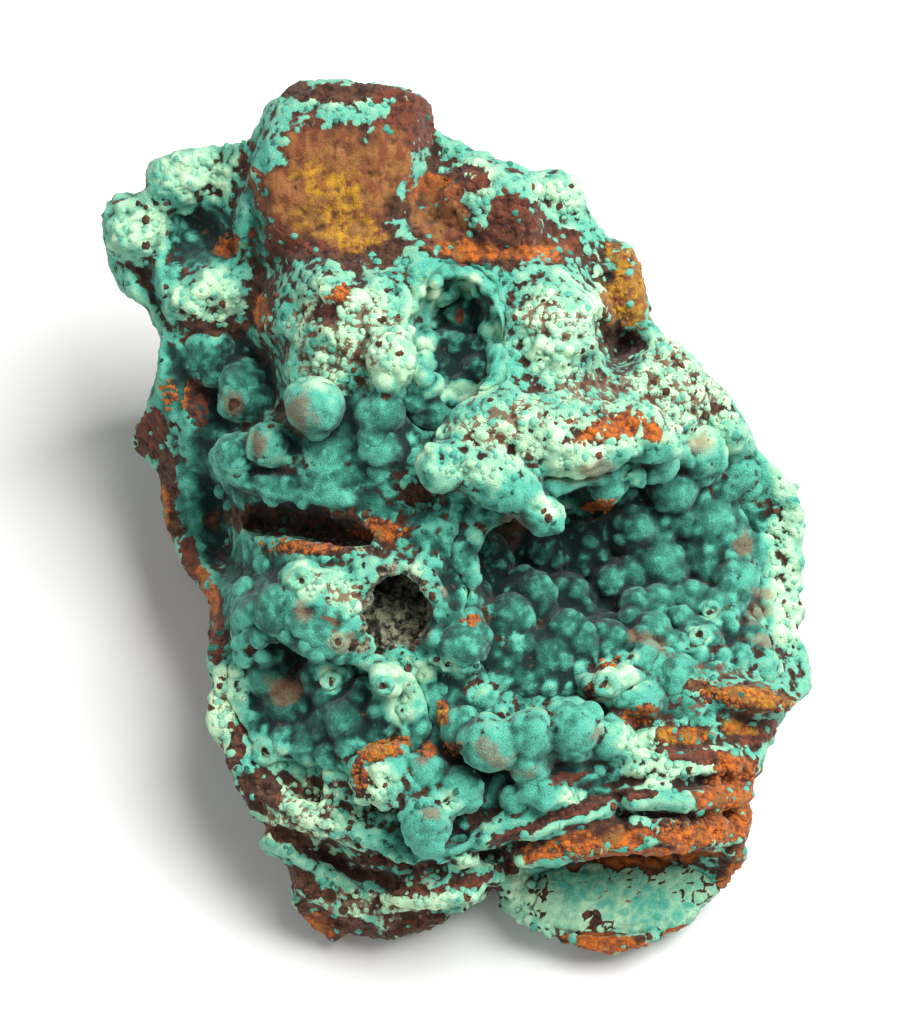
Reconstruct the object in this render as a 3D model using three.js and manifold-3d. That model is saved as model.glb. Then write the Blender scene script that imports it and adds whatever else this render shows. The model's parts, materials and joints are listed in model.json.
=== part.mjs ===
// Rosasite on gossan: a hand specimen of velvety blue-green balls lining the hollows of a lump of iron
// oxide. Lengths are millimetres. The row frame has +Z up, the flat broken base on z = 0, and its
// origin on the base straight below the middle of the specimen's face.
//
// The face is the side with the hollows. It leans back, and it is set out in its own frame: u to the
// right, v up the face, w out of it. A place on the face is given as [u, v], where it is seen from the
// eye, and by its depth w.

import * as THREE from 'three';
import { ImprovedNoise } from 'three/addons/math/ImprovedNoise.js';
import { mergeVertices } from 'three/addons/utils/BufferGeometryUtils.js';
import Module from 'manifold-3d';

const wasm = await Module();
wasm.setup();

// Driving dimensions
const faceTilt = THREE.MathUtils.degToRad( 60 );	// how far the face's outward normal stands above level
const faceHeight = 35;		// the face's middle above the base
const eyeDistance = 300;	// from the face's middle to the eye that the places are seen from
const crustThickness = 1.3;
const crustGap = 0.45;		// between a crust and the rock that it lines
const trimMargin = 0.9;		// the rough body runs this far past its outline before it is trimmed
const footLevel = - 2;		// and this far below the base before it is cut flat

const ballRough = 0.05;		// a ball's bumps, as a share of its radius
const ballLift = 0.3;		// how far a crust's ball stands off the lining, as a share of its radius
const bodyWeld = 0.9;		// corners closer than this are made one before the hollows are opened
const lastWeld = 0.4;		// and closer than this in the finished pieces

// Fineness of the round shapes, as the cuts made along an edge of the twenty-sided start
const bodySteps = 9;
const hollowSteps = 3;
const liningSteps = 2;
const lumpSteps = 1;

// The outline of the face as it is seen, [u, v], clockwise from the boss at the top
const outline = [
	[ - 20, 37 ], [ - 18.5, 40.5 ], [ - 15, 42.9 ], [ - 10, 43 ], [ - 5, 42 ], [ - 2.2, 41 ],
	[ - 1.4, 37.8 ], [ 1.5, 36.5 ], [ 7, 34 ], [ 11, 34.2 ], [ 13, 32.8 ], [ 14, 28.5 ], [ 18, 26.8 ],
	[ 19.5, 22.5 ], [ 19.9, 18.8 ], [ 24.8, 14.8 ], [ 27.5, 11.8 ], [ 30.5, 7 ], [ 31, 5.5 ],
	[ 34.2, 3.5 ], [ 35.3, - 2 ], [ 34.7, - 9 ], [ 35.7, - 10.2 ], [ 34.5, - 12 ], [ 35.8, - 14.5 ],
	[ 36.2, - 18 ], [ 33.5, - 20.2 ], [ 31.5, - 23.5 ], [ 29.8, - 29 ], [ 30, - 31.5 ], [ 29.5, - 35.5 ],
	[ 26, - 38 ], [ 23.5, - 41 ], [ 19, - 43.5 ], [ 16.2, - 44.5 ], [ 10, - 42.5 ], [ 6.4, - 41 ],
	[ 5.3, - 37.8 ], [ 4.2, - 37 ], [ 3, - 38.5 ], [ - 2, - 41.5 ], [ - 7, - 42.8 ], [ - 10, - 42 ],
	[ - 12, - 43.2 ], [ - 15.8, - 39 ], [ - 16.5, - 35.5 ], [ - 18.5, - 33 ], [ - 18.8, - 31 ],
	[ - 21.4, - 28 ], [ - 22.2, - 24.5 ], [ - 24.3, - 21.2 ], [ - 23.5, - 17 ], [ - 24.3, - 15.4 ],
	[ - 23.8, - 9 ], [ - 26.5, - 5.5 ], [ - 28.4, - 1 ], [ - 28.8, 3.6 ], [ - 32, 7 ], [ - 29.5, 12 ],
	[ - 28.7, 17 ], [ - 30, 20.2 ], [ - 33.8, 22.5 ], [ - 34.7, 28.5 ], [ - 34.4, 31.2 ], [ - 30.4, 31.8 ],
	[ - 30, 35 ], [ - 25, 36.2 ], [ - 22, 37.2 ],
];

// How far out or in the face lies at marked places, [u, v, w], before the hollows are opened
const marks = [
	// the ochre boss at the top, and the brown lump beside it
	[ - 11, 41.5, - 11 ], [ - 15, 36, - 8 ], [ - 10, 31, - 6.5 ], [ - 9, 26, - 6 ], [ - 3.5, 39.5, - 11 ],
	[ - 4, 34, - 9 ], [ - 18.5, 31, - 10 ], [ - 21, 28, - 17 ], [ 5, 32, - 6 ], [ 5, 27.5, - 3 ],
	[ 1, 36, - 12 ],
	// the pale and the orange knobs, and the pale slope down the right side
	[ 11, 31.5, - 12 ], [ 14, 26, - 11 ], [ 17.8, 22, - 14 ], [ 16, 18, - 13 ], [ 11, 22, - 3 ],
	[ 14, 16, - 3 ], [ 9, 14, - 1 ], [ 19, 13.5, - 9 ], [ 24, 11, - 12 ], [ 29, 7, - 15 ],
	[ 33, 2.5, - 16 ], [ 34.5, - 5, - 17 ], [ 35, - 11, - 16 ], [ 35, - 17.5, - 14 ],
	// the far knob at the upper left and the ground below it
	[ - 26.5, 34.5, - 17 ], [ - 28, 29.5, - 16 ], [ - 33, 28.5, - 19 ], [ - 32, 24, - 22 ],
	[ - 26, 27.5, - 18 ], [ - 24.5, 22, - 14 ], [ - 22, 20, - 13 ], [ - 28.5, 19, - 17 ],
	// the pale column down the middle
	[ - 16.5, 22, - 6 ], [ - 12, 21, - 3 ], [ - 6.5, 21, - 2 ], [ - 3, 22, - 2.5 ], [ - 10, 16, 0 ],
	[ - 5.5, 15, 1 ], [ - 16, 15, - 6 ], [ - 11, 10, 0 ], [ - 7, 8, - 1 ], [ - 18, 8, - 6 ],
	[ - 12, 4, - 1 ], [ - 5, 3, - 3 ],
	// the left wall, and the low flange that stands out behind it
	[ - 22, 5, - 8 ], [ - 22.5, 12, - 10 ], [ - 26, 11, - 12 ], [ - 27.5, 16, - 15 ],
	[ - 30.5, 7.5, - 27 ], [ - 28.5, 2, - 24 ], [ - 26, - 3, - 20 ], [ - 23.5, - 7, - 15 ],
	[ - 24.5, 2, - 18 ],
	// the ground about the small deep hole
	[ - 18, - 3.5, - 6 ], [ - 12, - 9, 0 ], [ - 5, - 4, - 1 ], [ - 1, - 9, - 1 ], [ - 2, - 14, 0 ],
	[ - 7, - 18, 0 ], [ - 21, - 11, - 8 ], [ - 22, - 17, - 7 ], [ - 21.5, - 22, - 7 ],
	// the broken, layered front edge
	[ - 15, - 26, - 4 ], [ - 18, - 30, - 7 ], [ - 7, - 28, 0 ], [ - 12, - 33, - 3 ], [ - 15, - 37, - 8 ],
	[ - 11, - 41.5, - 12 ], [ - 5, - 39, - 8 ], [ - 1, - 33, 0 ], [ 0, - 38, - 5 ], [ 4, - 37.5, - 13 ],
	[ 3, - 27, 0 ], [ 11, - 30, 0 ], [ 15, - 33, - 1 ], [ 21, - 19, - 3 ], [ 15, - 17, - 3 ],
	[ 29, - 19, - 5 ], [ 25, - 25, - 2 ], [ 29, - 28, - 5 ], [ 21, - 29, - 1 ], [ 25, - 32.5, - 2 ],
	// the low shelf
	[ 17, - 37, - 8 ], [ 11, - 40, - 9 ], [ 24, - 36.5, - 8 ], [ 17, - 43.5, - 9.6 ], [ 28.8, - 35, - 8 ],
	// the ground that the big hollow is opened in, and the tongue over it
	[ 17, - 5, - 7 ], [ 25, - 9, - 10 ], [ 11, - 11, - 4 ], [ 5, - 15, - 2 ], [ 7, 8, 2 ], [ 15, 8, 1 ],
	[ 20, 8, - 3 ], [ 2, 7, 1 ],
];
const markReach = 3.2;	// how far a mark holds the face at its own depth

// The hollows, each as round cuts: at = [u, v, w], size = half widths along u, v and w, turn = degrees
// about w
const hollows = {
	main: [
		{ at: [ 15, - 4, - 6.5 ], size: [ 14, 9.5, 13 ], turn: - 8 },
		{ at: [ 26, - 4, - 9 ], size: [ 8.8, 12.5, 11 ], turn: 8 },
		{ at: [ 5.5, - 4, - 6 ], size: [ 6.5, 6.5, 9 ], turn: - 20 },
		{ at: [ 11, - 12.5, - 1.5 ], size: [ 11.5, 6.5, 7.5 ], turn: - 10 },
	],
	upper: [
		{ at: [ 0.8, 18.5, - 5 ], size: [ 5, 6.4, 9 ] },
		{ at: [ 0.5, 12, - 3 ], size: [ 6, 4.5, 7 ], turn: 20 },
	],
	lower: [
		{ at: [ - 16, - 18.5, - 3 ], size: [ 8.5, 7.8, 7.5 ], turn: - 15 },
		{ at: [ - 8.5, - 20.5, - 1 ], size: [ 7, 6.5, 5.5 ] },
	],
};

// Bare cavities, cut like the hollows but with no crust in them
const cavities = [
	{ at: [ - 14.5, - 1.2, - 6 ], size: [ 8.5, 2, 9 ], turn: - 12, rough: 0.2, steps: 2 },	// the slit cave
	{ at: [ - 5.6, - 10, - 4 ], size: [ 3.8, 4.7, 9.5 ], turn: - 12, rough: 0.2, steps: 2 },	// the deep hole
	{ at: [ 17.4, - 38, - 6.8 ], size: [ 13, 5.4, 5.6 ], turn: 3, lean: - 24, steps: 2 },	// over the shelf
];

// Dips in the face, shaped with it
const dips = [
	{ at: [ - 22.6, 13, - 11 ], size: [ 6, 6.6, 8 ] },					// the smooth recess at the upper left
	{ at: [ - 24, 0, - 15 ], size: [ 2.8, 6.5, 5 ], turn: 8 },			// the smooth recess at the far left
	{ at: [ - 25.5, 28, - 15 ], size: [ 4.4, 3.4, 4 ] },				// the hollow in the far knob
	{ at: [ - 32.3, 23.7, - 19 ], size: [ 2.8, 2, 4 ] },
	{ at: [ - 19, 21.5, - 10 ], size: [ 1.9, 4.2, 6 ], turn: - 10 },	// the cleft beside the column
	{ at: [ 17.3, 16.5, - 12 ], size: [ 2.6, 2.3, 5 ] },				// under the orange knob
	{ at: [ - 12.5, 19.5, - 3 ], size: [ 1.9, 1.7, 3 ] },
	{ at: [ - 14, - 27.3, - 5 ], size: [ 3, 2, 3.5 ] },
	{ at: [ - 11, - 35.6, - 6 ], size: [ 5.2, 1.9, 4 ], turn: - 30 },
	{ at: [ - 5.5, - 29.8, - 1 ], size: [ 2.4, 1.5, 3 ] },
];

// Broad swellings, shaped with the face
const swells = [
	{ at: [ 10.3, 18, - 5 ], size: [ 5.2, 6.6, 5 ] },
	{ at: [ 21, 12.3, - 12 ], size: [ 6, 4.6, 4.5 ], turn: - 35 },
	{ at: [ - 10.5, 20.4, - 3.6 ], size: [ 5.6, 3.8, 3.6 ], turn: 10 },
	{ at: [ - 25, 21.5, - 15 ], size: [ 5, 3.6, 3.5 ], turn: - 20 },
	{ at: [ - 18.4, - 11, - 5 ], size: [ 3.4, 4.6, 3.6 ] },
];

// Lumps that stand clear of the face
const lumps = [
	// the ochre boss
	{ at: [ - 10.8, 33.5, - 12.4 ], size: [ 9.2, 9.4, 6.6 ], blocky: true, rough: 0.2, steps: 2 },
	{ at: [ 4.5, 30.3, - 7 ], size: [ 5.4, 5, 5.5 ], turn: - 30, rough: 0.35 },			// the brown lump
	{ at: [ 10.8, 31, - 14 ], size: [ 3.8, 3.8, 6 ] },									// the pale knob
	{ at: [ 17.5, 22.5, - 15 ], size: [ 2.8, 5.2, 6 ], turn: 12, rough: 0.25 },			// the orange knob
	{ at: [ 27.4, 8, - 16 ], size: [ 4.2, 3.4, 5 ], turn: - 40, rough: 0.25 },
	{ at: [ - 5.6, 14.8, 0 ], size: [ 3, 3.6, 3.6 ] },									// the speckled lump
	{ at: [ - 27.5, 33, - 18 ], size: [ 5, 3.7, 6 ], turn: 8, rough: 0.25 },			// the far knob
	{ at: [ - 31.2, 28.3, - 20 ], size: [ 3.8, 4.4, 6 ], rough: 0.25 },
	{ at: [ - 19.6, 31, - 15 ], size: [ 1.6, 6.5, 5 ], turn: - 12 },					// the fin beside the boss
	{ at: [ - 12.8, - 10, - 1.8 ], size: [ 4.8, 5.2, 4.4 ] },							// the mound by the hole
	{ at: [ 29.8, - 18.7, - 6 ], size: [ 5.6, 2, 4 ], turn: - 10, rough: 0.25 },		// the ochre ledge
	{ at: [ - 6.8, - 26.6, 0 ], size: [ 3.8, 3.3, 3.4 ], rough: 0.2 },					// the rusty knob
	{ at: [ 17, - 18, - 2.5 ], size: [ 4.8, 2.4, 3.2 ], turn: - 20, rough: 0.25 },
];

// Round balls grown on the open face: [u, v, w, half width, half height]
const openBalls = [
	[ 4, - 23.5, 3.2, 3.2, 2.7 ], [ 8, - 22.5, 2, 2.9, 2.9 ], [ 8, - 25.7, 1.5, 2.2, 2.2 ],
	[ 12.2, - 22, 0.8, 3, 3.4 ], [ 16, - 23, - 0.8, 2.6, 2.6 ], [ 1.2, - 22, 0.8, 2.3, 2.2 ],
	[ - 2.3, - 26.4, 0.8, 2.1, 2.5 ], [ 1, - 28, 1, 2.4, 2.3 ], [ - 2.4, - 31.4, 2.2, 2.5, 3 ],
	[ 9.5, - 28.6, 0.6, 3.6, 1.8 ], [ 1.2, - 13.6, - 0.5, 2.5, 3.9 ], [ - 13.6, 10.5, - 0.5, 3, 2.8 ],
	[ - 7, 9.8, - 0.4, 2.6, 2.3 ], [ - 7, 6.2, - 0.8, 2.6, 1.9 ], [ - 18, 6.6, - 4.5, 2.6, 2.4 ],
	[ - 21.4, 5.6, - 7, 2.6, 2.4 ], [ - 6.5, - 17, 0.4, 1.9, 1.9 ], [ - 24.2, 15.4, - 18, 3.8, 3.2 ],
	[ - 20.4, 12, - 15.5, 3, 3.6 ],
];

// The tongue that overhangs the big hollow, and the balls that hang under it
const overhangs = [
	{ at: [ 3.5, 8, 0 ], size: [ 6, 4, 4 ], turn: 25, rough: 0.25 },
	{ at: [ 11, 7.2, 0 ], size: [ 7, 4.2, 4 ], turn: - 5, rough: 0.3 },
	{ at: [ 18.4, 7.8, - 2 ], size: [ 4.8, 3.2, 4 ], turn: - 8, rough: 0.3 },
	{ at: [ 5, 2.8, 2.2 ], size: [ 5.6, 2.9, 2.8 ], turn: - 24, rough: 0.2 },
	{ at: [ - 0.8, 4.4, 2.6 ], size: [ 2.7, 2.5, 2.6 ] },
	{ at: [ 9.3, - 0.4, 1.2 ], size: [ 2.3, 2.4, 2.2 ] },
	{ at: [ 15.8, 3.4, - 4 ], size: [ 2.5, 2.7, 2.6 ], rough: 0.05 },
	{ at: [ 20.6, 4.6, - 5 ], size: [ 2.4, 2.2, 2.6 ], rough: 0.05 },
];

// Ledges, the broken edges of the layers: a strip `thick` wide along the points [u, v, w] of its front
// edge, which runs `deep` into the rock
const ledges = [
	{
		thick: 2.8, deep: 5,
		points: [ [ 2.5, - 33.4, 0 ], [ 6, - 30.8, 1.6 ], [ 10, - 31.4, 1.6 ], [ 16, - 29.4, 1 ] ],
	},
	{
		thick: 3, deep: 6,
		points: [ [ 6.5, - 34.6, - 1 ], [ 13, - 33.2, 0.8 ], [ 23, - 32.6, 0.4 ], [ 30, - 32.2, - 5 ] ],
	},
	{ thick: 2.6, deep: 5, points: [ [ - 7, - 39.8, - 6 ], [ - 0.5, - 37.9, - 2.8 ], [ 5.4, - 36, - 4 ] ] },
	{
		thick: 2.8, deep: 5,
		points: [ [ - 21, - 27, - 7 ], [ - 16, - 30, - 3.4 ], [ - 9, - 32.4, - 0.8 ], [ 3, - 35, - 0.6 ] ],
	},
	{ thick: 3, deep: 5, points: [ [ - 18.5, - 32.8, - 9 ], [ - 14, - 37.4, - 6.6 ], [ - 5, - 41.2, - 8 ] ] },
	{ thick: 2.4, deep: 4, points: [ [ 16, - 25.2, 0 ], [ 24, - 25.6, 0.4 ], [ 31, - 24, - 5 ] ] },
	{ thick: 2.4, deep: 5, points: [ [ 17, - 28.6, 1.4 ], [ 25, - 28.8, 1 ], [ 30.5, - 28.6, - 4 ] ] },
	{ thick: 1.4, deep: 5, points: [ [ - 5.5, - 4.6, - 0.4 ], [ - 0.6, - 9.5, 1.3 ], [ - 1.6, - 15, 0.8 ] ] },
	{ thick: 1.8, deep: 6, points: [ [ - 24, 6, - 9 ], [ - 20.4, 3, - 5 ], [ - 9.5, 0.8, - 0.2 ] ] },
	{ thick: 2, deep: 5, points: [ [ - 28.2, 4, - 22 ], [ - 27.6, - 2.6, - 19 ], [ - 24.4, - 8.4, - 14.5 ] ] },
];

// The balls of each crust as they are seen, [u, v, radius]. Each is seated on the hollow's wall behind
// it.
const crustBalls = {
	main: [
		[ 27, 5.2, 3.4 ], [ 22.2, 3.2, 2.8 ], [ 29.8, 1.4, 3.2 ], [ 24.4, - 0.4, 3.2 ], [ 30.6, - 4.2, 3.2 ],
		[ 26.2, - 4.6, 2.6 ], [ 18.4, - 1.8, 2.8 ], [ 13.6, - 3.6, 2.6 ], [ 29.2, - 9.8, 3 ], [ 21, - 6, 3 ],
		[ 16.6, - 7.4, 2.6 ], [ 9.4, - 3.8, 2.6 ], [ 24.4, - 9.8, 2.8 ], [ 19.2, - 11, 2.8 ],
		[ 24.4, - 13.2, 2.6 ], [ 28.6, - 12.8, 3 ], [ 11.6, - 8.6, 2.4 ], [ 7.4, - 9, 3.2 ], [ 5.4, - 12, 3 ],
		[ 11.4, - 14, 3.6 ], [ 8, - 16, 2.8 ], [ 15.6, - 13.4, 2.4 ], [ 3.4, - 5, 2.8 ],
	],
	upper: [
		[ 0, 15.6, 2.8 ], [ 3.4, 14.4, 2.6 ], [ 1.6, 19.6, 2.6 ], [ - 2.8, 11.2, 2.4 ], [ 1.4, 11.4, 2.6 ],
	],
	lower: [
		[ - 16, - 19, 3.2 ], [ - 19, - 15.4, 3 ], [ - 11.6, - 16.8, 3 ], [ - 15.6, - 23.6, 3.2 ],
		[ - 10.6, - 22, 3.4 ], [ - 6.2, - 19.8, 3 ],
	],
};

// The thin crust on the low shelf, tipped back to face up
const shelfPlate = {
	at: [ 17, - 38, - 12.4 ], size: [ 12, 5, 2.1 ], turn: 3, lean: - 26, rough: 0.05, steps: 2,
};

const faceToRow = new THREE.Matrix4()
	.makeRotationX( Math.PI / 2 - faceTilt )
	.setPosition( 0, 0, faceHeight );
const eye = new THREE.Vector3( 0, 0, eyeDistance ).applyMatrix4( faceToRow );
const noise = new ImprovedNoise();

// Fractal noise at a point, from about -1 to 1, with bumps about `grain` across
function roughness( point, grain ) {

	const [ finer, finerShare ] = [ 2.3, 0.5 ];
	const from = new THREE.Vector3( 7.3, 1.9, 4.1 );
	const at = ( k ) => noise.noise( ...point.clone().multiplyScalar( k / grain ).add( from ) );
	return at( 1 ) + finerShare * at( finer );

}

// The point of the face's frame at depth w that the eye sees at [u, v]
function placed( u, v, w ) {

	const spread = 1 - w / eyeDistance;
	return new THREE.Vector3( u * spread, v * spread, w );

}

const seen = ( u, v, w ) => placed( u, v, w ).applyMatrix4( faceToRow );

// A direction or offset in the face's frame, as shares of a round shape's half widths along its own
// axes
function sharesOf( offset, { size, turn = 0 } ) {

	const out = new THREE.Vector3( 0, 0, 1 );
	const own = offset.clone().applyAxisAngle( out, - THREE.MathUtils.degToRad( turn ) );
	return own.divide( new THREE.Vector3( ...size ) );

}

// How far a round shape rises out of [u, v], or null beside it
function riseAt( shape, u, v ) {

	const [ atU, atV ] = shape.at;
	const left = 1 - sharesOf( new THREE.Vector3( u - atU, v - atV, 0 ), shape ).lengthSq();
	return left > 0 ? shape.size[ 2 ] * Math.sqrt( left ) : null;

}

// The depth of the face at [u, v]: near each mark it is that mark's own, then it rises over the swells
// and sinks in the dips
function faceDepth( u, v ) {

	const farWeight = 1e-4;		// keeps every mark's pull above nothing
	let total = 0;
	let weights = 1e-12;
	for ( const [ markU, markV, w ] of marks ) {

		const distance2 = ( u - markU ) ** 2 + ( v - markV ) ** 2;
		const weight = Math.exp( - distance2 / ( 2 * markReach ** 2 ) ) + farWeight / ( 1 + distance2 );
		total += weight * w;
		weights += weight;

	}

	let depth = total / weights;
	for ( const swell of swells ) {

		const rise = riseAt( swell, u, v );
		if ( rise !== null ) depth = Math.max( depth, swell.at[ 2 ] + rise );

	}

	for ( const dip of dips ) {

		const fall = riseAt( dip, u, v );
		if ( fall !== null ) depth = Math.min( depth, dip.at[ 2 ] - fall );

	}

	return depth;

}

// The outline's radius in the direction `angle` about the face's middle
function outlineRadius( angle ) {

	const turnOf = ( p ) => ( Math.atan2( p[ 1 ], p[ 0 ] ) - angle + 4 * Math.PI ) % ( 2 * Math.PI );
	const rank = [ ...outline.keys() ].sort( ( a, b ) => turnOf( outline[ a ] ) - turnOf( outline[ b ] ) );
	const [ after, before ] = [ outline[ rank[ 0 ] ], outline[ rank[ outline.length - 1 ] ] ];
	const edge = [ after[ 0 ] - before[ 0 ], after[ 1 ] - before[ 1 ] ];
	const cross = Math.cos( angle ) * edge[ 1 ] - Math.sin( angle ) * edge[ 0 ];
	return ( before[ 0 ] * edge[ 1 ] - before[ 1 ] * edge[ 0 ] ) / cross;

}

// Makes a solid from a geometry, its shared corners merged
function solidFrom( geometry ) {

	const bare = geometry.clone();
	bare.deleteAttribute( 'normal' );
	bare.deleteAttribute( 'uv' );
	const merged = mergeVertices( bare, 1e-4 );
	return new wasm.Manifold( new wasm.Mesh( {
		numProp: 3,
		vertProperties: new Float32Array( merged.attributes.position.array ),
		triVerts: new Uint32Array( merged.index.array ),
	} ) );

}

function geometryFrom( solid ) {

	const { vertProperties, triVerts } = solid.getMesh();
	const geometry = new THREE.BufferGeometry();
	geometry.setAttribute( 'position', new THREE.BufferAttribute( new Float32Array( vertProperties ), 3 ) );
	geometry.setIndex( new THREE.BufferAttribute( new Uint32Array( triVerts ), 1 ) );
	return geometry;

}

// Draws together the ends of each edge shorter than `shortest`, wherever the skin stays closed and no
// triangle turns over
function welded( solid, shortest ) {

	const leastTurn = 0.3;		// the cosine of the most that a triangle may turn
	const { attributes: { position }, index } = geometryFrom( solid );
	const pointAt = ( _, i ) => new THREE.Vector3().fromBufferAttribute( position, i );
	const points = Array.from( { length: position.count }, pointAt );
	const faceAt = ( _, i ) => [ ...index.array.slice( 3 * i, 3 * i + 3 ) ];
	const faces = Array.from( { length: index.count / 3 }, faceAt );
	const around = points.map( () => new Set() );
	faces.forEach( ( face, i ) => face.forEach( ( corner ) => around[ corner ].add( i ) ) );

	function facing( face ) {

		const corners = face.map( ( corner ) => points[ corner ] );
		return new THREE.Triangle( ...corners ).getNormal( new THREE.Vector3() );

	}

	function draw( kept, moved ) {

		const besides = ( corner ) => new Set( [ ...around[ corner ] ].flatMap( ( i ) => faces[ i ] ) );
		const both = [ ...besides( kept ) ].filter( ( corner ) => besides( moved ).has( corner ) );
		if ( both.length !== 4 ) return false;
		const staying = [ ...around[ moved ] ].filter( ( i ) => ! faces[ i ].includes( kept ) );
		const rename = ( corner ) => corner === moved ? kept : corner;
		const renamed = staying.map( ( i ) => faces[ i ].map( rename ) );
		const turns = ( i, k ) => facing( faces[ i ] ).dot( facing( renamed[ k ] ) ) < leastTurn;
		if ( staying.some( turns ) ) return false;
		for ( const i of around[ moved ] ) faces[ i ].forEach( ( corner ) => around[ corner ].delete( i ) );
		staying.forEach( ( i, k ) => {

			faces[ i ] = renamed[ k ];
			renamed[ k ].forEach( ( corner ) => around[ corner ].add( i ) );

		} );
		return true;

	}

	let drawn = true;
	while ( drawn ) {

		drawn = false;
		for ( const corner of points.keys() ) {

			const near = ( other ) => points[ other ].distanceTo( points[ corner ] ) < shortest;
			const others = [ ...around[ corner ] ].flatMap( ( i ) => faces[ i ] );
			drawn = others.some( ( other ) => other !== corner && near( other ) && draw( corner, other ) ) || drawn;

		}

	}

	const left = faces.filter( ( face, i ) => around[ face[ 0 ] ].has( i ) );
	const geometry = new THREE.BufferGeometry().setFromPoints( points );
	return solidFrom( geometry.setIndex( left.flat() ) );

}

const joined = ( solids ) => solids.reduce( ( sum, solid ) => sum.add( solid ) );

const biggestOf = ( solid ) => solid.decompose().sort( ( a, b ) => b.volume() - a.volume() )[ 0 ];

// Gives each vertex of a geometry to `place`, which returns its new position
function reshape( geometry, place ) {

	const position = geometry.attributes.position;
	for ( let i = 0; i < position.count; i ++ ) {

		const point = place( new THREE.Vector3().fromBufferAttribute( position, i ) );
		position.setXYZ( i, point.x, point.y, point.z );

	}

	return geometry;

}

// The whole lump before its hollows are opened: the face, the side walls down to the foot, and the foot
function bodySolid() {

	const faceShare = THREE.MathUtils.degToRad( 122 );	// the part of the start sphere that becomes the face
	const footShare = THREE.MathUtils.degToRad( 154 );	// beyond this it becomes the foot
	const footMiddle = new THREE.Vector3( 0, 3, footLevel );
	const footTaper = 0.8;
	const wallBulge = 2.5;
	const wallRough = 2.4;
	const faceRough = 1;
	const rockGrain = 6;

	return solidFrom( reshape( new THREE.IcosahedronGeometry( 1, bodySteps ), ( start ) => {

		const slope = Math.acos( THREE.MathUtils.clamp( start.z, - 1, 1 ) );
		const angle = Math.atan2( start.y, start.x );
		const share = Math.min( 1, Math.sin( slope / 2 ) / Math.sin( faceShare / 2 ) );
		const out = share * ( outlineRadius( angle ) + trimMargin );
		const [ u, v ] = [ out * Math.cos( angle ), out * Math.sin( angle ) ];
		const w = faceDepth( u, v );
		const top = seen( u, v, w + faceRough * roughness( new THREE.Vector3( u, v, w ), rockGrain ) );
		if ( slope <= faceShare ) return top;

		const foot = footMiddle.clone().lerp( top, footTaper ).setZ( footLevel );
		const down = Math.min( 1, ( slope - faceShare ) / ( footShare - faceShare ) );
		const outward = top.clone().sub( footMiddle ).setZ( 0 ).normalize();
		const wall = top.lerp( foot, down );
		const bulge = wallBulge + wallRough * roughness( wall, rockGrain );
		wall.addScaledVector( outward, Math.sin( Math.PI * down ) * bulge );
		const under = Math.max( 0, 1 - Math.cos( slope / 2 ) / Math.cos( footShare / 2 ) );
		return slope > footShare ? wall.lerp( footMiddle, under ) : wall;

	} ) );

}

// The space that is seen inside the outline, which the rock is trimmed to
function outlineSolid() {

	const [ deepest, nearest ] = [ - 85, 25 ];
	const shape = new THREE.Shape( outline.map( ( [ u, v ] ) => new THREE.Vector2( u, v ) ) );
	const options = { depth: nearest - deepest, steps: 1, bevelEnabled: false };
	const geometry = new THREE.ExtrudeGeometry( shape, options );
	geometry.translate( 0, 0, deepest );
	return solidFrom( reshape( geometry, ( point ) => seen( point.x, point.y, point.z ) ) );

}

// A round or blocky lump with a rough skin. `grow` adds to its half widths; `rough` is a share of its
// smallest one.
function lumpSolid( lump, grow = 0 ) {

	const { at, size, turn = 0, lean = 0, rough = 0.12, blocky = false, steps = lumpSteps } = lump;
	const half = new THREE.Vector3( ...size ).addScalar( grow );
	const smallest = Math.min( ...size );
	const shift = new THREE.Vector3( ...at ).multiplyScalar( 3 );
	const geometry = reshape( new THREE.IcosahedronGeometry( 1, steps ), ( point ) => {

		const bump = rough * roughness( point.clone().multiplyScalar( smallest ).add( shift ), smallest );
		if ( blocky ) point.divideScalar( ( point.x ** 4 + point.y ** 4 + point.z ** 4 ) ** 0.25 );
		return point.multiplyScalar( 1 + bump ).multiply( half );

	} );
	geometry.rotateX( THREE.MathUtils.degToRad( lean ) );
	geometry.rotateZ( THREE.MathUtils.degToRad( turn ) );
	geometry.rotateX( Math.PI / 2 - faceTilt );
	geometry.translate( ...seen( ...at ) );
	return solidFrom( geometry );

}

function ballSolid( [ u, v, w, halfWidth, halfHeight ] ) {

	const halfDepth = ( halfWidth + halfHeight ) / 2;
	return lumpSolid( { at: [ u, v, w ], size: [ halfWidth, halfHeight, halfDepth ], rough: ballRough } );

}

// A thin ledge: a strip along a smooth curve, with a ragged front edge
function ledgeSolid( { thick, deep, points } ) {

	const path = new THREE.CatmullRomCurve3( points.map( ( p ) => new THREE.Vector3( ...p ) ) );
	const endTaper = 0.45;
	const backSpread = 1.3;
	const ragged = 0.5;
	const strip = new THREE.BoxGeometry( 1, 1, 1, 2 * ( points.length - 1 ), 1, 1 );
	return solidFrom( reshape( strip, ( corner ) => {

		const centre = path.getPoint( corner.x + 0.5 );
		const tangent = path.getTangent( corner.x + 0.5 );
		const across = new THREE.Vector2( - tangent.y, tangent.x ).normalize();
		const bump = ragged * roughness( centre.clone().addScalar( 9 * corner.y ), 2.5 );
		const width = thick * ( 1 - endTaper * ( 2 * corner.x ) ** 4 ) * ( corner.z > 0 ? 1 : backSpread );
		const side = corner.y * width + bump;
		const w = corner.z > 0 ? centre.z + bump : centre.z - deep;
		return seen( centre.x + across.x * side, centre.y + across.y * side, w );

	} ) );

}

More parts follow.
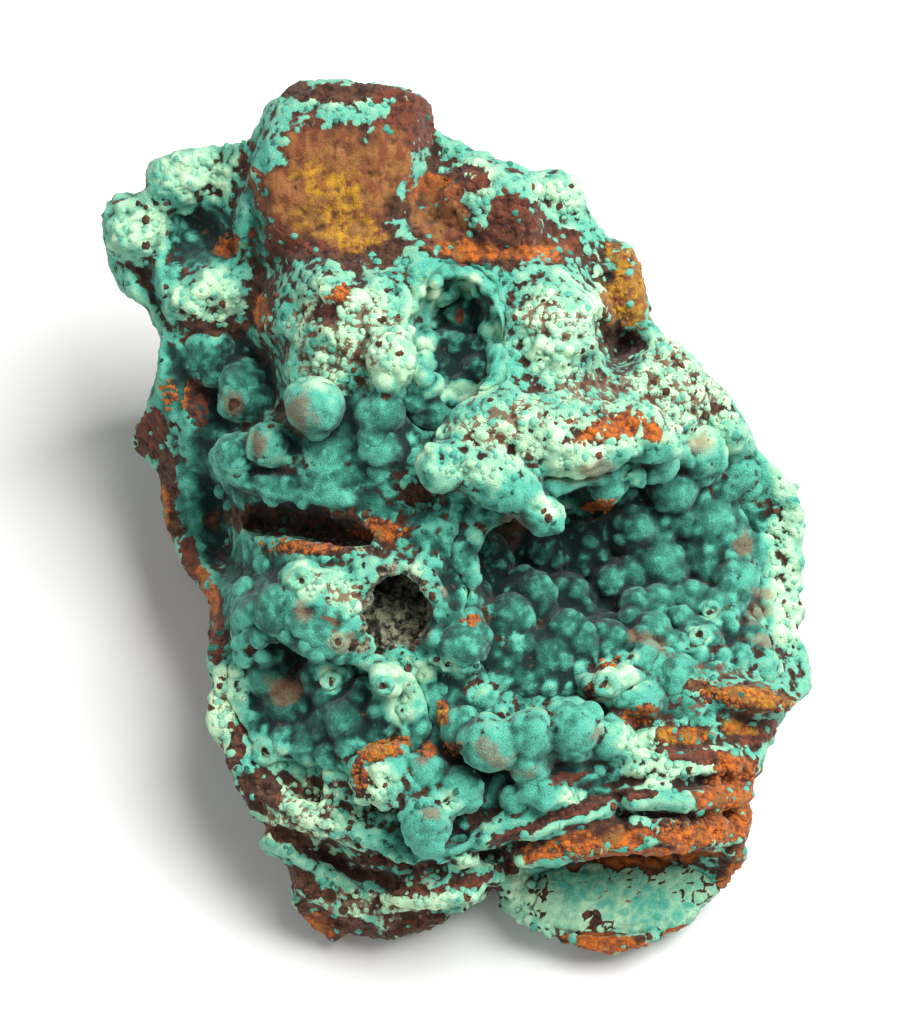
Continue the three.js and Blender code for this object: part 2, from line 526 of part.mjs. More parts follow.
// How far a ray from `start` goes to leave a round cut, or 0 if it misses it
function wayOut( cut, start, direction ) {

	const from = sharesOf( start.clone().sub( placed( ...cut.at ) ), cut );
	const along = sharesOf( direction, cut );
	const half = from.dot( along );
	const root = half ** 2 - along.lengthSq() * ( from.lengthSq() - 1 );
	return root > 0 ? ( Math.sqrt( root ) - half ) / along.lengthSq() : 0;

}

// A hollow's whole space, in one skin about the middle of its first cut
function hollowSolid( cuts, grow = 0, steps = hollowSteps ) {

	const middle = placed( ...cuts[ 0 ].at );
	const geometry = reshape( new THREE.IcosahedronGeometry( 1, steps ), ( direction ) => {

		const rough = 1 + 0.05 * roughness( direction, 0.5 );
		const wall = Math.max( ...cuts.map( ( cut ) => wayOut( cut, middle, direction ) ) ) * rough;
		return direction.multiplyScalar( wall + grow ).add( middle );

	} );
	return solidFrom( geometry.applyMatrix4( faceToRow ) );

}

// The air that a crust leaves in its hollow: inside the lining, and clear of balls seated on the
// lining's far wall. The balls are [u, v, radius] as they are seen.
function airSolid( cuts, balls ) {

	const lined = hollowSolid( cuts, - crustGap - crustThickness, liningSteps );
	const skin = new THREE.MeshBasicMaterial( { side: THREE.DoubleSide } );
	const wall = new THREE.Mesh( geometryFrom( lined ), skin );
	const seated = balls.map( ( [ u, v, radius ] ) => {

		const ray = new THREE.Raycaster( eye, seen( u, v, 0 ).sub( eye ).normalize() );
		const [ far ] = ray.intersectObject( wall ).reverse();
		if ( ! far ) throw new Error( `no wall behind the ball at ${ u }, ${ v }` );
		const w = far.point.applyMatrix4( faceToRow.clone().invert() ).z + ballLift * radius;
		return lumpSolid( { at: [ u, v, w ], size: [ radius, radius, radius ], rough: ballRough } );

	} );
	return welded( lined.subtract( joined( seated ) ), bodyWeld );

}

// Everything below the base is cut away, which leaves the flat face that the specimen rests on
function cutFlat( solid ) {

	const [ span, drop ] = [ 200, 60 ];
	const below = new THREE.BoxGeometry( span, span, drop ).translate( 0, 0, - drop / 2 );
	return solid.subtract( solidFrom( below ) );

}

const lumpsJoined = ( list, grow ) => joined( list.map( ( lump ) => lumpSolid( lump, grow ) ) );
const grown = [ lumpsJoined( lumps ), ...openBalls.map( ballSolid ), ...ledges.map( ledgeSolid ) ];
const roughBody = welded( bodySolid().add( joined( grown ) ), bodyWeld );
const body = welded( roughBody.intersect( outlineSolid() ), bodyWeld );
const hollowSpaces = joined( Object.values( hollows ).map( ( cuts ) => hollowSolid( cuts ) ) );
const cavitySpaces = lumpsJoined( cavities );
const rock = body
	.subtract( hollowSpaces )
	.add( lumpsJoined( overhangs ) )
	.subtract( cavitySpaces )
	.subtract( lumpSolid( shelfPlate, crustGap ) );

const specimen = new THREE.Group();

function addPiece( name, solid, material ) {

	const kept = biggestOf( cutFlat( welded( biggestOf( solid ), lastWeld ) ) );
	const mesh = new THREE.Mesh( geometryFrom( kept ), material );
	mesh.name = name;
	specimen.add( mesh );

}

// Finishes: dull iron oxide, and velvety blue-green crusts
const gossan = new THREE.MeshStandardMaterial( { color: 0x8a5a38, roughness: 0.95, metalness: 0 } );
const rosasite = new THREE.MeshStandardMaterial( { color: 0x3f8f86, roughness: 0.9, metalness: 0 } );
const paleRosasite = new THREE.MeshStandardMaterial( { color: 0x7cc4ae, roughness: 0.9, metalness: 0 } );

addPiece( 'gossan_matrix', rock, gossan );
const keptClear = lumpsJoined( overhangs, crustGap ).add( cavitySpaces );
for ( const [ place, cuts ] of Object.entries( hollows ) ) {

	const filled = hollowSolid( cuts, - crustGap ).intersect( body ).subtract( keptClear );
	const crust = filled.subtract( airSolid( cuts, crustBalls[ place ] ) );
	addPiece( `${ place }_hollow_crust`, crust, rosasite );

}

addPiece( 'shelf_crust', lumpSolid( shelfPlate ).intersect( outlineSolid() ), paleRosasite );

export default specimen;
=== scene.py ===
import json
import math
import random

import bpy
import numpy as np
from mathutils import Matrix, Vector, noise
from mathutils.bvhtree import BVHTree

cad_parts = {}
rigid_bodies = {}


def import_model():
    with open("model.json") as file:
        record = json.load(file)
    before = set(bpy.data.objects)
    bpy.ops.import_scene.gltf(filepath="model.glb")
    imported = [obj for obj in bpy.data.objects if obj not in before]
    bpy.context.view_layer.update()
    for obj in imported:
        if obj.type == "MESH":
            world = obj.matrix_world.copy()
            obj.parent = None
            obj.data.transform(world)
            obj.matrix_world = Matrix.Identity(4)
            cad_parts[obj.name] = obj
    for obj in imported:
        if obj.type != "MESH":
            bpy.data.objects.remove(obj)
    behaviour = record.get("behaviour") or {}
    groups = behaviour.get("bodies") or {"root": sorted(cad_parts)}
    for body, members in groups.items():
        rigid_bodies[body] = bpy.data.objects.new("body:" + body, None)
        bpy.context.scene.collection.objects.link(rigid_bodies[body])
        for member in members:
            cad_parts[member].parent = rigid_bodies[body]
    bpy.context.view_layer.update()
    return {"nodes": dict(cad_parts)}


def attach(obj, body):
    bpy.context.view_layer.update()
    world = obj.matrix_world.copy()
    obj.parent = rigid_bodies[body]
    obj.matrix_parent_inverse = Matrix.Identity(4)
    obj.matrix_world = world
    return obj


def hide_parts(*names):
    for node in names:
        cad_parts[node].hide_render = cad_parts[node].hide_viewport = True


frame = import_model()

noise.seed_set(7)     # or wander() would change from run to run
mm = 0.001

# The photo's eye looks square at the face. Places on the object are pixels of the photo's 900 by 1021 frame.
shot = {
    "middle": (450, 510),     # the pixel at the middle of the face
    "pixelSize": 0.1 * mm,
    "faceHeight": 35 * mm,
    "tilt": 60,               # degrees that the face's normal stands above level
    "distance": 300 * mm,
    "frameLong": 1021,        # pixels along the frame's long side
    "sensor": 36,
}
tilt = math.radians(shot["tilt"])
faceMiddle = Vector((0, 0, shot["faceHeight"]))
faceRight = Vector((1, 0, 0))
faceUp = Vector((0, math.sin(tilt), math.cos(tilt)))
faceOut = Vector((0, -math.cos(tilt), math.sin(tilt)))
eye = faceMiddle + faceOut * shot["distance"]


def placeAt(x, y, depth=0.0):
    # the point that the eye sees at a pixel, so far out of the face's middle
    across = (x - shot["middle"][0]) * shot["pixelSize"]
    up = (shot["middle"][1] - y) * shot["pixelSize"]
    spread = 1 - depth / shot["distance"]
    return faceMiddle + (faceRight * across + faceUp * up) * spread + faceOut * depth


def pixelsOf(points):
    # where the eye sees an array of points
    away = points - np.array(faceMiddle)
    spread = 1 - (away @ np.array(faceOut)) / shot["distance"]
    x = shot["middle"][0] + (away @ np.array(faceRight)) / spread / shot["pixelSize"]
    y = shot["middle"][1] - (away @ np.array(faceUp)) / spread / shot["pixelSize"]
    return x, y


def selectOnly(piece):
    bpy.ops.object.select_all(action="DESELECT")
    piece.select_set(True)
    bpy.context.view_layer.objects.active = piece


def finishWith(piece, kind, **settings):
    # adds a modifier and applies it
    selectOnly(piece)
    modifier = piece.modifiers.new(kind.lower(), kind)
    for setting, value in settings.items():
        setattr(modifier, setting, value)
    bpy.ops.object.modifier_apply(modifier=modifier.name)


def copyNode(node, name):
    # a copy of a CAD node, its loose triangles merged
    piece = frame["nodes"][node].copy()
    piece.data = piece.data.copy()
    piece.name = name
    piece.data.name = name
    piece.parent = None
    for key in list(piece.keys()):     # the node's own tags
        del piece[key]
    bpy.context.scene.collection.objects.link(piece)
    piece.data.materials.clear()
    selectOnly(piece)
    bpy.ops.object.mode_set(mode="EDIT")
    bpy.ops.mesh.select_all(action="SELECT")
    bpy.ops.mesh.remove_doubles(threshold=0.01 * mm)
    bpy.ops.object.mode_set(mode="OBJECT")
    return piece


def cornersOf(piece, what="co"):
    values = np.empty(len(piece.data.vertices) * 3)
    piece.data.vertices.foreach_get(what, values)
    return values.reshape(-1, 3)


def normalsOf(piece):
    return cornersOf(piece, "normal")


def makeBall(cuts):
    # one ball of radius 1, modelled once and copied wherever balls grow
    bpy.ops.object.select_all(action="DESELECT")
    bpy.ops.mesh.primitive_ico_sphere_add(subdivisions=cuts, radius=1)
    ball = bpy.context.object
    corners = cornersOf(ball)
    faces = np.array([face.vertices[:] for face in ball.data.polygons])
    bpy.data.objects.remove(ball)
    return corners, faces


smallBall = makeBall(2)
mediumBall = makeBall(3)
largeBall = makeBall(4)


def copyBalls(name, ball, grown):
    # one mesh of many balls, each (centre, radius) or (centre, (half widths))
    corners, faces = ball
    centres = np.array([centre[:] for centre, _ in grown])
    sizes = np.array([(size,) * 3 if isinstance(size, float) else size for _, size in grown])
    points = (corners[None] * sizes[:, None] + centres[:, None]).reshape(-1, 3)
    steps = np.arange(len(grown)) * len(corners)
    polygons = (faces[None] + steps[:, None, None]).reshape(-1, 3)
    mesh = bpy.data.meshes.new(name)
    mesh.from_pydata(points.tolist(), [], polygons.tolist())
    piece = bpy.data.objects.new(name, mesh)
    bpy.context.scene.collection.objects.link(piece)
    return piece


def joinInto(piece, others):
    selectOnly(piece)
    for other in others:
        other.select_set(True)
    bpy.ops.object.join()


def setCorners(piece, points):
    points[:, 2] = np.maximum(points[:, 2], 0.0)
    piece.data.vertices.foreach_set("co", points.reshape(-1))
    piece.data.update()


def pushOut(piece, push):
    # moves each corner so far along its normal
    setCorners(piece, cornersOf(piece) + normalsOf(piece) * push[:, None])


def fuse(piece, voxel, smoothing=3):
    # one even skin round all that the piece holds
    finishWith(piece, "REMESH", mode="VOXEL", voxel_size=voxel)
    finishWith(piece, "SMOOTH", factor=0.5, iterations=smoothing)


def setShade(piece, name, values):
    attributes = piece.data.attributes
    attribute = attributes.get(name) or attributes.new(name, "FLOAT", "POINT")
    attribute.data.foreach_set("value", np.clip(values, 0, 1).astype(np.float32))


def wander(points, size):
    # smooth noise with bumps `size` across, as a vector from -1 to 1 at each point
    return np.array([noise.noise_vector(Vector(point / size)) for point in points])


def bumps(points, size, octaves=3):
    return np.array([noise.fractal(Vector(point / size), 0.8, 2.1, octaves) for point in points])


def domes(points, size):
    # packed round domes `size` across: 1 at the middle of each and 0 between them
    nearest = np.array([noise.voronoi(Vector(point / size))[0][0] for point in points])
    return 1 - np.clip(nearest / 0.75, 0, 1) ** 2


def plates(points, size):
    # flat plates `size` across: 1 on each and 0 in the cracks between them
    nearest = np.array([noise.voronoi(Vector(point / size))[0][:2] for point in points])
    return ease(nearest[:, 1] - nearest[:, 0], 0.04, 0.26)


def ease(values, low, high):
    share = np.clip((values - low) / (high - low), 0, 1)
    return share * share * (3 - 2 * share)


def patchMask(x, y, patches, soft=0.35, rough=0.0):
    # 1 inside patches (x, y, half width, half height, turn if any), fading out over `soft` of their size
    most = np.zeros(len(x))
    for middleX, middleY, halfWidth, halfHeight, *turn in patches:
        angle = math.radians(turn[0] if turn else 0)
        c, s = math.cos(angle), math.sin(angle)
        dx, dy = x - middleX, middleY - y
        away = np.sqrt(((dx * c + dy * s) / halfWidth) ** 2 + ((dy * c - dx * s) / halfHeight) ** 2)
        most = np.maximum(most, ease(1 + soft - away - rough, 0, 2 * soft))
    return most


pits = {"rounds": {"pitFine": 6, "pitBroad": 60}, "smoothing": 0.6}


def neighboursOf(piece):
    # the two ends of every edge, given both ways round
    ends = np.empty(len(piece.data.edges) * 2, int)
    piece.data.edges.foreach_get("vertices", ends)
    first, second = ends.reshape(-1, 2).T
    return np.concatenate([first, second]), np.concatenate([second, first])


def smoothedCorners(points, both, others, rounds):
    # where corners come to lie after rounds of smoothing
    count = np.maximum(np.bincount(both, minlength=len(points)), 1)[:, None]
    for _ in range(rounds):
        sums = [np.bincount(both, points[others, k], len(points)) for k in range(3)]
        points = (1 - pits["smoothing"]) * points + pits["smoothing"] * np.stack(sums, 1) / count
    return points


def shadePits(piece, fine, broad):
    # attributes that are 0.5 on flat ground, and 1 in a crevice or 0 on a bump of so many mm
    points, normals = cornersOf(piece), normalsOf(piece)
    both, others = neighboursOf(piece)
    for (name, rounds), reach in zip(pits["rounds"].items(), (fine, broad)):
        sunk = ((smoothedCorners(points, both, others, rounds) - points) * normals).sum(1)
        setShade(piece, name, 0.5 + 0.5 * sunk / (reach * mm))


class Ground:
    # what the eye sees of some pieces
    def __init__(self, pieces):
        points, faces = [], []
        for piece in pieces:
            start = len(points)
            points += [vertex.co.copy() for vertex in piece.data.vertices]
            faces += [[start + corner for corner in face.vertices] for face in piece.data.polygons]
        self.tree = BVHTree.FromPolygons(points, faces)

    def under(self, x, y):
        # what the eye sees at a pixel: its place, its normal and how far from the eye it is
        ray = (placeAt(x, y) - eye).normalized()
        place, normal, _, distance = self.tree.ray_cast(eye, ray)
        return place, normal, distance


# Hollows that are wider than their solids leave them, as (x, y) in pixels, depth and half widths in mm
alcoves = [
    ((456, 338), -1.6, (4.8, 6.6, 5.6)),
    ((268, 522), -9.0, (3.5, 1.6, 6.0)),
]

# Lumps that fill up the deep hole and break up the cave's lips, as (x, y, depth in mm, radius in pixels)
lumps = [
    (396, 636, -7.2, 34), (374, 614, -8.0, 22), (416, 618, -8.5, 22), (398, 596, -10.0, 20),
    (338, 512, -3.0, 9), (302, 503, -3.5, 8), (272, 500, -5.0, 8), (362, 600, -1.5, 8), (366, 640, -1.8, 9),
    (378, 574, -1.5, 8), (425, 640, -1.8, 7), (408, 572, -1.2, 6),
]


def carve(piece):
    # pushes what lies inside an alcove out to its wall
    points = cornersOf(piece)
    axes = np.array([faceRight, faceUp, faceOut])
    for (x, y), depth, halfWidths in alcoves:
        halves = np.array(halfWidths) * mm
        local = (points - np.array(placeAt(x, y, depth * mm))) @ axes.T / halves
        away = np.linalg.norm(local, axis=1)
        inside = away < 1
        local[inside] /= np.maximum(away[inside], 0.05)[:, None]     # never divides by 0
        points[inside] = (local[inside] * halves) @ axes + np.array(placeAt(x, y, depth * mm))
    setCorners(piece, points)


base = {"voxel": 0.45 * mm, "rockSwell": 0.1 * mm, "crustSwell": 0.4 * mm}


def makeBase(node, swell, *grown):
    # an even copy of a CAD node, swollen a little so that rock and crusts meet, with its hollows opened
    piece = copyNode(node, node + "_base")
    finishWith(piece, "REMESH", mode="VOXEL", voxel_size=base["voxel"])
    finishWith(piece, "DISPLACE", strength=swell, mid_level=0)
    carve(piece)
    if grown:
        joinInto(piece, grown)
    return piece


lumpBalls = copyBalls("lumps", mediumBall, [
    (placeAt(x, y, depth * mm), radius * shot["pixelSize"]) for x, y, depth, radius in lumps
])
bases = {"gossan_matrix": makeBase("gossan_matrix", base["rockSwell"], lumpBalls)}
for node in ("main_hollow_crust", "upper_hollow_crust", "lower_hollow_crust", "shelf_crust"):
    bases[node] = makeBase(node, base["crustSwell"])
allGround = Ground(bases.values())

# rays that measure how open the surface lies, for the painted shade in hollows
sky = {
    "rays": 10,             # sent from every fourth corner
    "every": 4,
    "reach": 24 * mm,
    "lift": 1.2 * mm,       # where a ray starts above the surface
    "lean": 1.05,           # how much the rays lean to the surface's normal
    "directions": 64,
    "spread": 8,            # rounds that carry the result to the corners between
    "seed": 31,
}


def shadeOpenness(piece):
    # an attribute that is 1 where the surface lies open and falls to 0 deep in a closed hollow, for painting
    # shade into the green in hollows
    points, normals = cornersOf(piece), normalsOf(piece)
    both, others = neighboursOf(piece)
    pick = random.Random(sky["seed"])
    spray = [
        Vector((pick.gauss(0, 1), pick.gauss(0, 1), pick.gauss(0, 1))).normalized()
        for _ in range(sky["directions"])
    ]
    known, clear = np.zeros(len(points)), np.zeros(len(points))
    for i in range(0, len(points), sky["every"]):
        normal = Vector(normals[i])
        start = Vector(points[i]) + normal * sky["lift"]
        ways = [normal * sky["lean"] + pick.choice(spray) for _ in range(sky["rays"])]
        blocked = sum(allGround.tree.ray_cast(start, way, sky["reach"])[0] is not None for way in ways)
        known[i] = 1
        clear[i] = 1 - blocked / sky["rays"]
    for _ in range(sky["spread"]):
        clear = clear + np.bincount(both, clear[others], len(points))
        known = known + np.bincount(both, known[others], len(points))
    setShade(piece, "open", clear / np.maximum(known, 1))


def seatBalls(spots, sunk):
    # balls (x, y, radius) in pixels, each seated so that `sunk` of its radius lies behind what is seen there
    seated = []
    for x, y, radius in spots:
        place, _, _ = allGround.under(x, y)
        if place is None:
            continue
        size = radius * shot["pixelSize"]
        seated.append((place - faceOut * size * sunk, size))
    return seated


lobe = {
    "crowding": 3.4,            # how many lobes as wide as the ball would cover it
    "wholeTurn": 6.28,
    "goldenAngle": 2.39996,     # sets lobe after lobe evenly round the ball
    "furthestBack": -0.25,
    "jitter": 0.1,
    "sizes": (0.75, 1.25),
}


def lobesOn(balls, share, chance, seed, spread):
    # small round lobes all over the seen side of balls, `share` of a ball's width
    pick = random.Random(seed)
    grown = []
    for centre, radius in balls:
        size = share * radius
        count = int(lobe["crowding"] / share ** 2)
        start = pick.random() * lobe["wholeTurn"]
        for k in range(count):
            height = 1 - 2 * (k + 0.5) / count
            ring = math.sqrt(1 - height * height)
            angle = start + k * lobe["goldenAngle"]
            side = Vector((ring * math.cos(angle), ring * math.sin(angle), height))
            if side.dot(faceOut) < lobe["furthestBack"] or pick.random() > chance:
                continue
            way = Vector((pick.uniform(-1, 1), pick.uniform(-1, 1), pick.uniform(-1, 1)))
            middle = centre + side * radius * spread + way * lobe["jitter"] * radius
            grown.append((middle, size * pick.uniform(*lobe["sizes"])))
    return grown


def scatterOn(ground, region, spacing, sizes, sunk, seed, keep=None, slack=0.2 * mm):
    # seeded small balls on what the eye sees of some pieces, in a box of pixels and where `keep` lets them
    pick = np.random.default_rng(seed)
    jitter = 0.35     # share of the spacing
    left, top, right, bottom = region
    rows, columns = np.mgrid[0:(bottom - top) // spacing + 1, 0:(right - left) // spacing + 1]
    rows, columns = rows.ravel(), columns.ravel()
    x = left + (columns + 0.5 * (rows % 2) + pick.uniform(-jitter, jitter, len(rows))) * spacing
    y = top + (rows + pick.uniform(-jitter, jitter, len(rows))) * spacing
    radii = pick.uniform(*sizes, len(rows)) * shot["pixelSize"]
    kept = pick.random(len(rows)) < (keep(x, y) if keep else 1)
    grown = []
    for spotX, spotY, radius in zip(x[kept], y[kept], radii[kept]):
        place, normal, distance = ground.under(spotX, spotY)
        if place is None or distance > (allGround.under(spotX, spotY)[2] or distance) + slack:
            continue
        grown.append((place - normal * radius * sunk, float(radius)))
    return grown


print("placed the frame and the eye")

# Little craters with a pale rim, as (x, y, radius) in pixels
craters = [
    (265, 752, 15), (300, 579, 13), (385, 685, 10), (606, 684, 13), (712, 610, 10), (698, 636, 11),
    (409, 667, 10), (331, 680, 10), (403, 711, 8), (447, 664, 8), (338, 640, 8), (628, 660, 8),
]

# Where the photo shows each colour, as ellipses (x, y, half width, half height) in pixels, some of them
# with a turn in degrees
patches = {
    # smooth velvety rosasite
    "smooth": [
        (218, 392, 62, 78), (205, 500, 32, 64), (262, 200, 16, 64), (195, 232, 44, 34), (168, 290, 26, 24),
        (375, 430, 112, 60), (300, 500, 100, 34, -8), (322, 612, 56, 66), (310, 700, 104, 72),
        (412, 720, 72, 60), (620, 560, 190, 150), (520, 768, 130, 46), (615, 888, 108, 46, -4),
        (250, 590, 46, 50), (455, 330, 56, 74), (430, 660, 50, 60), (640, 480, 120, 40), (430, 840, 50, 26),
        (690, 695, 60, 22), (446, 412, 36, 20), (560, 790, 50, 14, 15), (385, 868, 22, 10),
        (300, 320, 24, 30),
    ],
    # brown rock that shows between the green and the chalk
    "bareBrown": [
        (340, 184, 80, 58), (330, 236, 66, 26), (415, 118, 22, 34, -10), (345, 92, 80, 9),
        (510, 224, 32, 28, 10), (436, 212, 28, 34), (470, 178, 18, 12, -20), (470, 248, 56, 14, -8),
        (560, 246, 34, 14, -20), (628, 290, 24, 48, -12), (622, 342, 22, 14), (228, 245, 12, 10),
        (262, 302, 13, 30), (215, 326, 30, 7), (195, 400, 14, 26), (150, 432, 20, 26), (166, 484, 10, 30),
        (173, 524, 9, 26, 15), (192, 562, 10, 26, 25), (212, 600, 9, 28, 15), (214, 650, 8, 24),
        (310, 522, 86, 14, -4), (320, 547, 44, 7), (376, 532, 26, 10), (395, 612, 36, 42),
        (443, 713, 6, 12), (428, 750, 8, 8), (452, 749, 10, 8), (384, 748, 25, 9, 15), (359, 776, 7, 18),
        (745, 697, 50, 13, -8), (688, 735, 28, 9), (735, 728, 16, 7), (640, 716, 15, 8, 20),
        (692, 754, 32, 8, -6), (757, 735, 24, 8, 20), (735, 795, 34, 46), (698, 828, 52, 18),
        (516, 832, 34, 6, 17), (578, 808, 34, 6, 17), (545, 850, 36, 9, 9), (610, 836, 44, 12, 10),
        (634, 793, 24, 6), (562, 780, 22, 5, 8), (400, 890, 24, 5), (462, 882, 30, 6, 14),
        (505, 868, 14, 6, 20), (310, 848, 40, 7, -22), (374, 874, 30, 6, -25), (256, 792, 22, 20, -40),
        (312, 925, 34, 18, -20), (600, 945, 74, 10), (690, 930, 40, 10, 25), (734, 880, 16, 40, -10),
        (494, 902, 10, 20), (325, 316, 13, 11), (340, 293, 12, 7, 20), (610, 428, 32, 10, 18),
        (652, 433, 9, 8), (600, 505, 14, 6), (472, 620, 8, 5), (458, 320, 6, 9), (235, 402, 7, 6),
        (605, 665, 12, 4, 15), (590, 690, 6, 10), (632, 717, 12, 7), (648, 708, 9, 6),
        (228, 765, 9, 34, -12), (415, 492, 12, 10), (635, 860, 86, 10, 2), (340, 928, 56, 14, -12),
        (425, 926, 46, 9, 6), (300, 880, 26, 10, -35), (380, 862, 44, 6, -10),
    ],
    # part brown, part green: crumbly ground
    "mixed": [
        (400, 905, 90, 30), (330, 900, 40, 40), (700, 400, 50, 40, -45), (660, 360, 40, 30, -40),
        (345, 100, 70, 20), (290, 250, 40, 24, -20), (400, 250, 40, 20), (470, 165, 50, 20, -20),
        (560, 210, 20, 30), (215, 318, 48, 22), (205, 190, 40, 10), (555, 320, 50, 22), (480, 190, 22, 16),
        (500, 430, 60, 24), (600, 432, 60, 24, 10), (580, 262, 40, 40), (690, 385, 66, 50, -45),
        (780, 560, 16, 110), (306, 806, 60, 40, -25), (380, 890, 110, 46, 5), (660, 775, 70, 24),
        (722, 770, 34, 34), (330, 300, 44, 40), (225, 715, 20, 60, -5), (425, 815, 60, 50),
        (300, 555, 60, 12), (360, 600, 14, 40), (380, 780, 28, 26), (500, 850, 60, 12, 14),
        (395, 500, 24, 30), (620, 690, 40, 26), (700, 700, 60, 16),
    ],
    "sand": [(334, 182, 56, 46), (390, 170, 24, 30), (440, 215, 24, 24)],
    "yellow": [
        (332, 205, 40, 34, -30), (352, 228, 28, 18, -20), (628, 286, 24, 40, -12), (745, 694, 40, 9, -8),
        (686, 735, 24, 8), (735, 728, 16, 6), (384, 746, 22, 8, 15), (443, 713, 6, 12), (640, 316, 12, 20),
    ],
    "orange": [
        (430, 186, 22, 12), (470, 250, 40, 8, -6), (540, 250, 30, 9), (228, 245, 12, 10),
        (178, 395, 9, 22, -10), (376, 530, 22, 8), (308, 545, 24, 5), (610, 428, 34, 11, 18),
        (340, 292, 12, 6, 20), (735, 800, 34, 44), (556, 850, 46, 8, 9), (640, 838, 60, 9, 3),
        (640, 858, 80, 8, 2), (704, 832, 50, 12), (600, 946, 74, 10), (690, 930, 40, 10, 25),
        (736, 880, 14, 40, -10), (648, 712, 12, 7), (632, 717, 12, 7), (472, 620, 8, 5), (652, 433, 9, 8),
        (600, 505, 14, 6), (208, 590, 7, 30, 10), (166, 520, 6, 30, 5), (260, 310, 8, 16), (428, 750, 8, 8),
        (320, 925, 20, 8, -20),
    ],
    "rust": [
        (405, 120, 40, 36, -10), (290, 140, 44, 30), (270, 200, 20, 50), (505, 205, 42, 44, 10),
        (452, 232, 30, 18), (540, 822, 70, 7, 16), (640, 800, 60, 8, 4), (692, 754, 34, 9, -6),
        (757, 735, 26, 9, 20), (462, 884, 50, 6, 12), (205, 410, 8, 20), (150, 425, 14, 24),
        (185, 560, 9, 30, 25), (214, 640, 8, 30), (325, 318, 13, 10), (458, 320, 6, 9),
        (562, 780, 24, 5, 8), (300, 245, 60, 8), (370, 760, 20, 20), (605, 445, 30, 8, 18),
        (744, 705, 40, 5, -8), (285, 920, 26, 14, -30), (560, 240, 30, 8, -20),
    ],
    # chalky pale crust over the green
    "pale": [
        (198, 172, 50, 28), (140, 222, 38, 34), (207, 300, 42, 30), (563, 195, 34, 30), (556, 330, 54, 64),
        (690, 385, 74, 60, -45), (786, 560, 20, 120), (353, 312, 76, 46), (388, 360, 34, 34),
        (330, 370, 30, 30), (548, 436, 112, 44, 8), (470, 470, 40, 16), (222, 715, 20, 52, -5),
        (306, 812, 62, 42, -25), (400, 902, 90, 20, 5), (486, 860, 44, 12, 14), (306, 580, 22, 20),
        (345, 590, 18, 34, 20), (408, 580, 8, 30, -30), (408, 668, 44, 10), (402, 700, 18, 26),
        (612, 676, 26, 24), (640, 740, 30, 20), (664, 775, 50, 18), (380, 785, 26, 22), (345, 96, 60, 12),
        (480, 188, 22, 18), (600, 300, 18, 46), (706, 690, 16, 12), (265, 752, 16, 16), (330, 680, 10, 12),
        (556, 915, 50, 20), (520, 880, 16, 40), (716, 765, 34, 20), (480, 172, 26, 14, -20),
        (550, 510, 20, 12), (712, 612, 9, 8), (700, 637, 10, 9), (425, 343, 11, 12), (472, 283, 16, 12),
        (430, 290, 12, 10), (572, 798, 14, 8), (470, 390, 40, 10), (220, 690, 14, 30), (448, 800, 12, 12),
    ],
    # tiny rust specks in the chalk
    "specks": [
        (556, 320, 50, 22), (340, 330, 60, 50), (500, 425, 60, 30), (590, 400, 60, 30),
        (690, 385, 60, 50, -45), (306, 812, 56, 36, -25), (226, 715, 16, 50), (340, 600, 24, 36),
        (395, 690, 24, 30), (615, 890, 40, 26), (310, 575, 14, 12), (380, 900, 100, 36), (500, 745, 12, 8),
        (540, 770, 10, 8), (330, 385, 20, 14), (715, 640, 60, 60),
    ],
    # grey rock in the deep hole
    "bare": [(395, 612, 34, 42)],
    # painted shade on the green, mostly in the hollows
    "dark": [
        (540, 635, 84, 62), (475, 562, 44, 50), (325, 715, 80, 56), (255, 455, 50, 40), (285, 610, 44, 52),
        (460, 365, 48, 46), (215, 350, 60, 40), (405, 450, 46, 50), (570, 545, 60, 30), (450, 650, 40, 50),
        (520, 525, 30, 24), (740, 650, 50, 40),
    ],
    # brown stains on the green
    "stain": [
        (742, 541, 11, 12), (762, 592, 12, 8), (757, 612, 16, 10), (768, 640, 14, 8), (484, 746, 16, 14),
        (500, 762, 12, 8), (528, 772, 16, 9), (430, 812, 9, 8), (650, 640, 22, 9, -20), (700, 445, 12, 10),
        (300, 410, 20, 20), (258, 444, 14, 12), (284, 690, 18, 14), (515, 526, 14, 18), (235, 402, 14, 12),
        (298, 612, 8, 18), (340, 640, 16, 10, 20), (600, 735, 8, 8), (420, 760, 10, 8), (600, 470, 14, 12),
    ],
}

for name, share in (("bareBrown", 0.32), ("pale", 1.1)):
    patches[name] += [(x, y, share * radius, share * radius) for x, y, radius in craters]

# The thin layers at the foot of the face run down to this line's low point from both sides
layers = {
    "x": (180, 400, 520, 620, 760),
    "y": (796, 886, 862, 832, 816),
    "above": 80,
    "below": 70,
    "fade": 20,
    "from": (740, 770),     # no layers show higher up than this
    "step": 13,
    "span": 400,            # pixels that the mask "layer" stands for
}


def layerHeights(x, y):
    # how far each pixel lies above the lowest layers, and a mask of where layers show
    height = np.interp(x, layers["x"], layers["y"]) - y
    low, high, fade = -layers["below"], layers["above"], layers["fade"]
    shown = ease(height, low, low + fade) * (1 - ease(height, high - fade, high))
    return height, shown * ease(y, *layers["from"])


def facing(points, normals):
    # 1 where the surface faces the eye, and below 0 where it is turned away
    toEye = np.array(eye) - points
    toEye /= np.linalg.norm(toEye, axis=1)[:, None]
    return (normals * toEye).sum(1)


ragged = {
    "coarse": (6, 3 * mm),      # how many pixels the patches' edges wander, and over what length
    "fine": (3, 1.1 * mm),
    "grit": (0.3, 1.6 * mm),    # the same as a share of a patch's size
    "unseen": (-0.3, 0.1),      # between these the patches give way to noise
}


